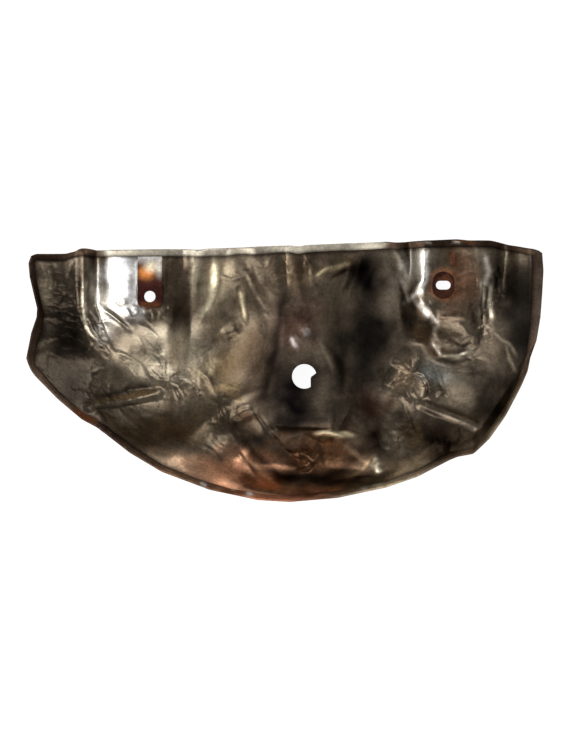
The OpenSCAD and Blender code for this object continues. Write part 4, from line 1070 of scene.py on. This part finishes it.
def metal_surface(name, polish, dull, patch_mm, dent_mm, dent_depth_mm, rust_codes, speck_code, speck_from):
    """Thin rolled metal that has been heated and cooled many times. Its clouds of temper colour are patch_mm
    wide and its roughness runs from polish to dull with them. Small dents are dent_mm wide."""
    material, tree = new_material(name)
    place = add(tree, "ShaderNodeTexCoord").outputs["Object"]
    tint = add(tree, "ShaderNodeAttribute", attribute_name="tint").outputs["Color"]
    rust_share = add(tree, "ShaderNodeAttribute", attribute_name="rust").outputs["Fac"]
    cloud = add(tree, "ShaderNodeTexNoise", {
        "Vector": place, "Scale": per_mm(patch_mm), "Detail": 7.0, "Roughness": 0.62}).outputs["Fac"]
    grain = add(tree, "ShaderNodeTexNoise", {
        "Vector": place, "Scale": per_mm(GRAIN_MM), "Detail": 4.0, "Roughness": 0.7}).outputs["Fac"]
    shade = add(tree, "ShaderNodeMapRange", {
        "Value": cloud, "From Min": 0.32, "From Max": 0.68, "To Min": 0.62, "To Max": 1.26}).outputs["Result"]
    grained = add(tree, "ShaderNodeMapRange", {
        "Value": grain, "From Min": 0.3, "From Max": 0.7, "To Min": 0.7, "To Max": 1.2}).outputs["Result"]
    both = add(tree, "ShaderNodeMath", {0: shade, 1: grained}, operation="MULTIPLY").outputs[0]
    metal = add(tree, "ShaderNodeVectorMath", {0: tint, "Scale": both}, operation="SCALE").outputs[0]

    # Rust starts where its share is high, breaks up into spots and has no shine of metal
    broken = add(tree, "ShaderNodeMath", {0: rust_share, 1: cloud}, operation="ADD").outputs[0]
    broken = add(tree, "ShaderNodeMath", {0: grain, 1: GRAIN_IN_RUST, 2: broken},
                 operation="MULTIPLY_ADD").outputs[0]
    rusty = add(tree, "ShaderNodeMapRange", {
        "Value": broken, "From Min": 1.1, "From Max": 1.6}).outputs["Result"]
    rust_colour = add(tree, "ShaderNodeMix", {
        MIX_FACTOR: grained, MIX_A: linear(rust_codes[0]), MIX_B: linear(rust_codes[1])},
        data_type="RGBA").outputs[MIX_OUT]
    coloured = add(tree, "ShaderNodeMix", {MIX_FACTOR: rusty, MIX_A: metal, MIX_B: rust_colour},
                   data_type="RGBA").outputs[MIX_OUT]
    bare = add(tree, "ShaderNodeMath", {0: 1.0, 1: rusty}, operation="SUBTRACT").outputs[0]

    # Pale grit of road salt in fine specks
    grit = add(tree, "ShaderNodeTexNoise", {
        "Vector": place, "Scale": per_mm(GRIT_MM), "Detail": 5.0, "Roughness": 0.75}).outputs["Fac"]
    specks = add(tree, "ShaderNodeMapRange", {
        "Value": grit, "From Min": speck_from, "From Max": speck_from + 0.05}).outputs["Result"]
    speck_share = add(tree, "ShaderNodeMath", {0: specks, 1: SALT_SHARE}, operation="MULTIPLY").outputs[0]
    finished = add(tree, "ShaderNodeMix", {
        MIX_FACTOR: speck_share, MIX_A: coloured, MIX_B: linear(speck_code)},
        data_type="RGBA").outputs[MIX_OUT]

    # Polished in some clouds and dull in others, duller under soot and dullest where it rusts
    gloss = add(tree, "ShaderNodeMapRange", {
        "Value": cloud, "From Min": 0.3, "From Max": 0.7, "To Min": polish, "To Max": dull}).outputs["Result"]
    soot_share = add(tree, "ShaderNodeAttribute", attribute_name="soot").outputs["Fac"]
    gloss = add(tree, "ShaderNodeMix", {0: soot_share, 2: gloss, 3: SOOTY_ROUGHNESS},
                data_type="FLOAT").outputs[0]
    rough = add(tree, "ShaderNodeMix", {0: rusty, 2: gloss, 3: RUSTY_ROUGHNESS}, data_type="FLOAT").outputs[0]
    waves = add(tree, "ShaderNodeTexNoise", {
        "Vector": place, "Scale": per_mm(dent_mm), "Detail": 3.0, "Roughness": 0.45}).outputs["Fac"]
    bump = add(tree, "ShaderNodeBump", {"Height": waves, "Strength": 1.0, "Distance": dent_depth_mm * MM})
    shader = add(tree, "ShaderNodeBsdfPrincipled", {
        "Base Color": finished, "Metallic": bare, "Roughness": rough, "Normal": bump.outputs["Normal"],
        "Specular Tint": linear(LOW_ANGLE_TINT)})
    add(tree, "ShaderNodeOutputMaterial", {"Surface": shader.outputs["BSDF"]})
    return material


# Stainless steel foil, cold rolled and laid in by hand. Its bright rolled face shows every crumple as a light
# and a dark line, and heat has coloured it straw, bronze, violet and black over the silver.
# Part of its tint is painted shade and painted highlights.
foil_material = metal_surface("heat-tinted stainless foil", polish=0.27, dull=0.45, patch_mm=16, dent_mm=8,
                              dent_depth_mm=0.35, rust_codes=("#180c08", "#422314"),
                              speck_code="#8a8074", speck_from=0.72)
# Aluminised steel, cold-rolled sheet dipped in molten aluminium and then pressed. It is duller than the foil,
# with broad soft highlights. Heat has browned it, and rust comes through round the holes and along the hem.
steel_material = metal_surface("heat-tinted aluminised steel", polish=0.32, dull=0.55, patch_mm=22,
                               dent_mm=12, dent_depth_mm=0.3, rust_codes=("#1a0c07", "#4a2814"),
                               speck_code="#d8d2c8", speck_from=0.66)
liner.data.materials.append(foil_material)
outer_sheet.data.materials.append(steel_material)

# Matt white paper, pressed smooth and without a pattern, so the eye sees only the shadow on it. Its white is
# what the camera and the metal see, and the light on the object stays plain.
FLOOR_HALF, FLOOR_DROP = 4, 0.0005
GLOW_SHARE, GLOW_STRENGTH = 0.85, 1.12
floor_mesh = bpy.data.meshes.new("floor")
floor_corners = [(FLOOR_HALF * u, FLOOR_HALF * v, 0) for u, v in ((-1, -1), (1, -1), (1, 1), (-1, 1))]
floor_mesh.from_pydata(floor_corners, [], [(0, 1, 2, 3)])
floor = bpy.data.objects.new("floor", floor_mesh)
floor.location.z = cad_low[2] - FLOOR_DROP
bpy.context.scene.collection.objects.link(floor)
floor_material, tree = new_material("white paper floor")
path = add(tree, "ShaderNodeLightPath")
seen = add(tree, "ShaderNodeMath", {0: path.outputs["Is Camera Ray"], 1: path.outputs["Is Glossy Ray"]},
           operation="MAXIMUM").outputs[0]
seen = add(tree, "ShaderNodeMath", {0: seen, 1: path.outputs["Is Transmission Ray"]},
           operation="MAXIMUM").outputs[0]
paper = add(tree, "ShaderNodeBsdfDiffuse", {"Color": linear("#f2f2f2")})
glow = add(tree, "ShaderNodeEmission", {"Color": linear("#ffffff"), "Strength": GLOW_STRENGTH})
pale = add(tree, "ShaderNodeMixShader", {0: GLOW_SHARE, 1: paper.outputs[0], 2: glow.outputs[0]})
shown = add(tree, "ShaderNodeMixShader", {0: seen, 1: paper.outputs[0], 2: pale.outputs[0]})
add(tree, "ShaderNodeOutputMaterial", {"Surface": shown.outputs[0]})
floor_mesh.materials.append(floor_material)

# Soft room light: brightest from the near side and the left, dim overhead and from the far right
world = bpy.data.worlds.new("soft room")
world.use_nodes = True
bpy.context.scene.world = world
tree = world.node_tree
tree.nodes.clear()
way = add(tree, "ShaderNodeTexCoord").outputs["Generated"]
split = add(tree, "ShaderNodeSeparateXYZ", {0: way})
height_share = add(tree, "ShaderNodeMapRange", {
    "Value": split.outputs["Z"], "From Min": 0.1, "From Max": 0.95, "To Min": 0.9, "To Max": 0.3
}).outputs["Result"]
side_share = add(tree, "ShaderNodeMapRange", {
    "Value": split.outputs["X"], "From Min": -0.8, "From Max": 0.8, "To Min": 1.15, "To Max": 0.7
}).outputs["Result"]
near_share = add(tree, "ShaderNodeMapRange", {
    "Value": split.outputs["Y"], "From Min": -0.8, "From Max": 0.7, "To Min": 1.35, "To Max": 0.6
}).outputs["Result"]
level = add(tree, "ShaderNodeMath", {0: height_share, 1: side_share}, operation="MULTIPLY").outputs[0]
level = add(tree, "ShaderNodeMath", {0: level, 1: near_share}, operation="MULTIPLY").outputs[0]
sky = add(tree, "ShaderNodeBackground", {"Color": linear("#fbfaf8"), "Strength": level})
add(tree, "ShaderNodeOutputWorld", {"Surface": sky.outputs[0]})


def window_light(name, position, size, watts):
    """A soft rectangular lamp that looks at the middle of the object."""
    data = bpy.data.lights.new(name, "AREA")
    data.shape = "RECTANGLE"
    data.size, data.size_y = size
    data.energy = watts
    lamp = bpy.data.objects.new(name, data)
    lamp.location = position
    lamp.rotation_mode = "QUATERNION"
    lamp.rotation_quaternion = Vector(position).to_track_quat("Z", "Y")
    bpy.context.scene.collection.objects.link(lamp)
    return lamp


window_light("left window", (-1.0, 0.1, 1.15), (0.8, 1.0), 16)
window_light("near window", (-0.2, -1.3, 0.9), (1.3, 0.5), 8)
window_light("far window", (0.75, 0.9, 1.25), (0.9, 0.6), 9)

# Straight above, at the photograph's frame, with a long lens
FRAME_H, RIM_LEVEL, LENS = 0.5928, 0.045, 150
camera_data = bpy.data.cameras.new("camera")
camera_data.lens = LENS
camera = bpy.data.objects.new("camera", camera_data)
camera.location = (0, 0, RIM_LEVEL + FRAME_H * LENS / camera_data.sensor_width)
camera_data.clip_end = 10
bpy.context.scene.collection.objects.link(camera)
bpy.context.scene.camera = camera
bpy.context.scene.view_settings.view_transform = "Standard"
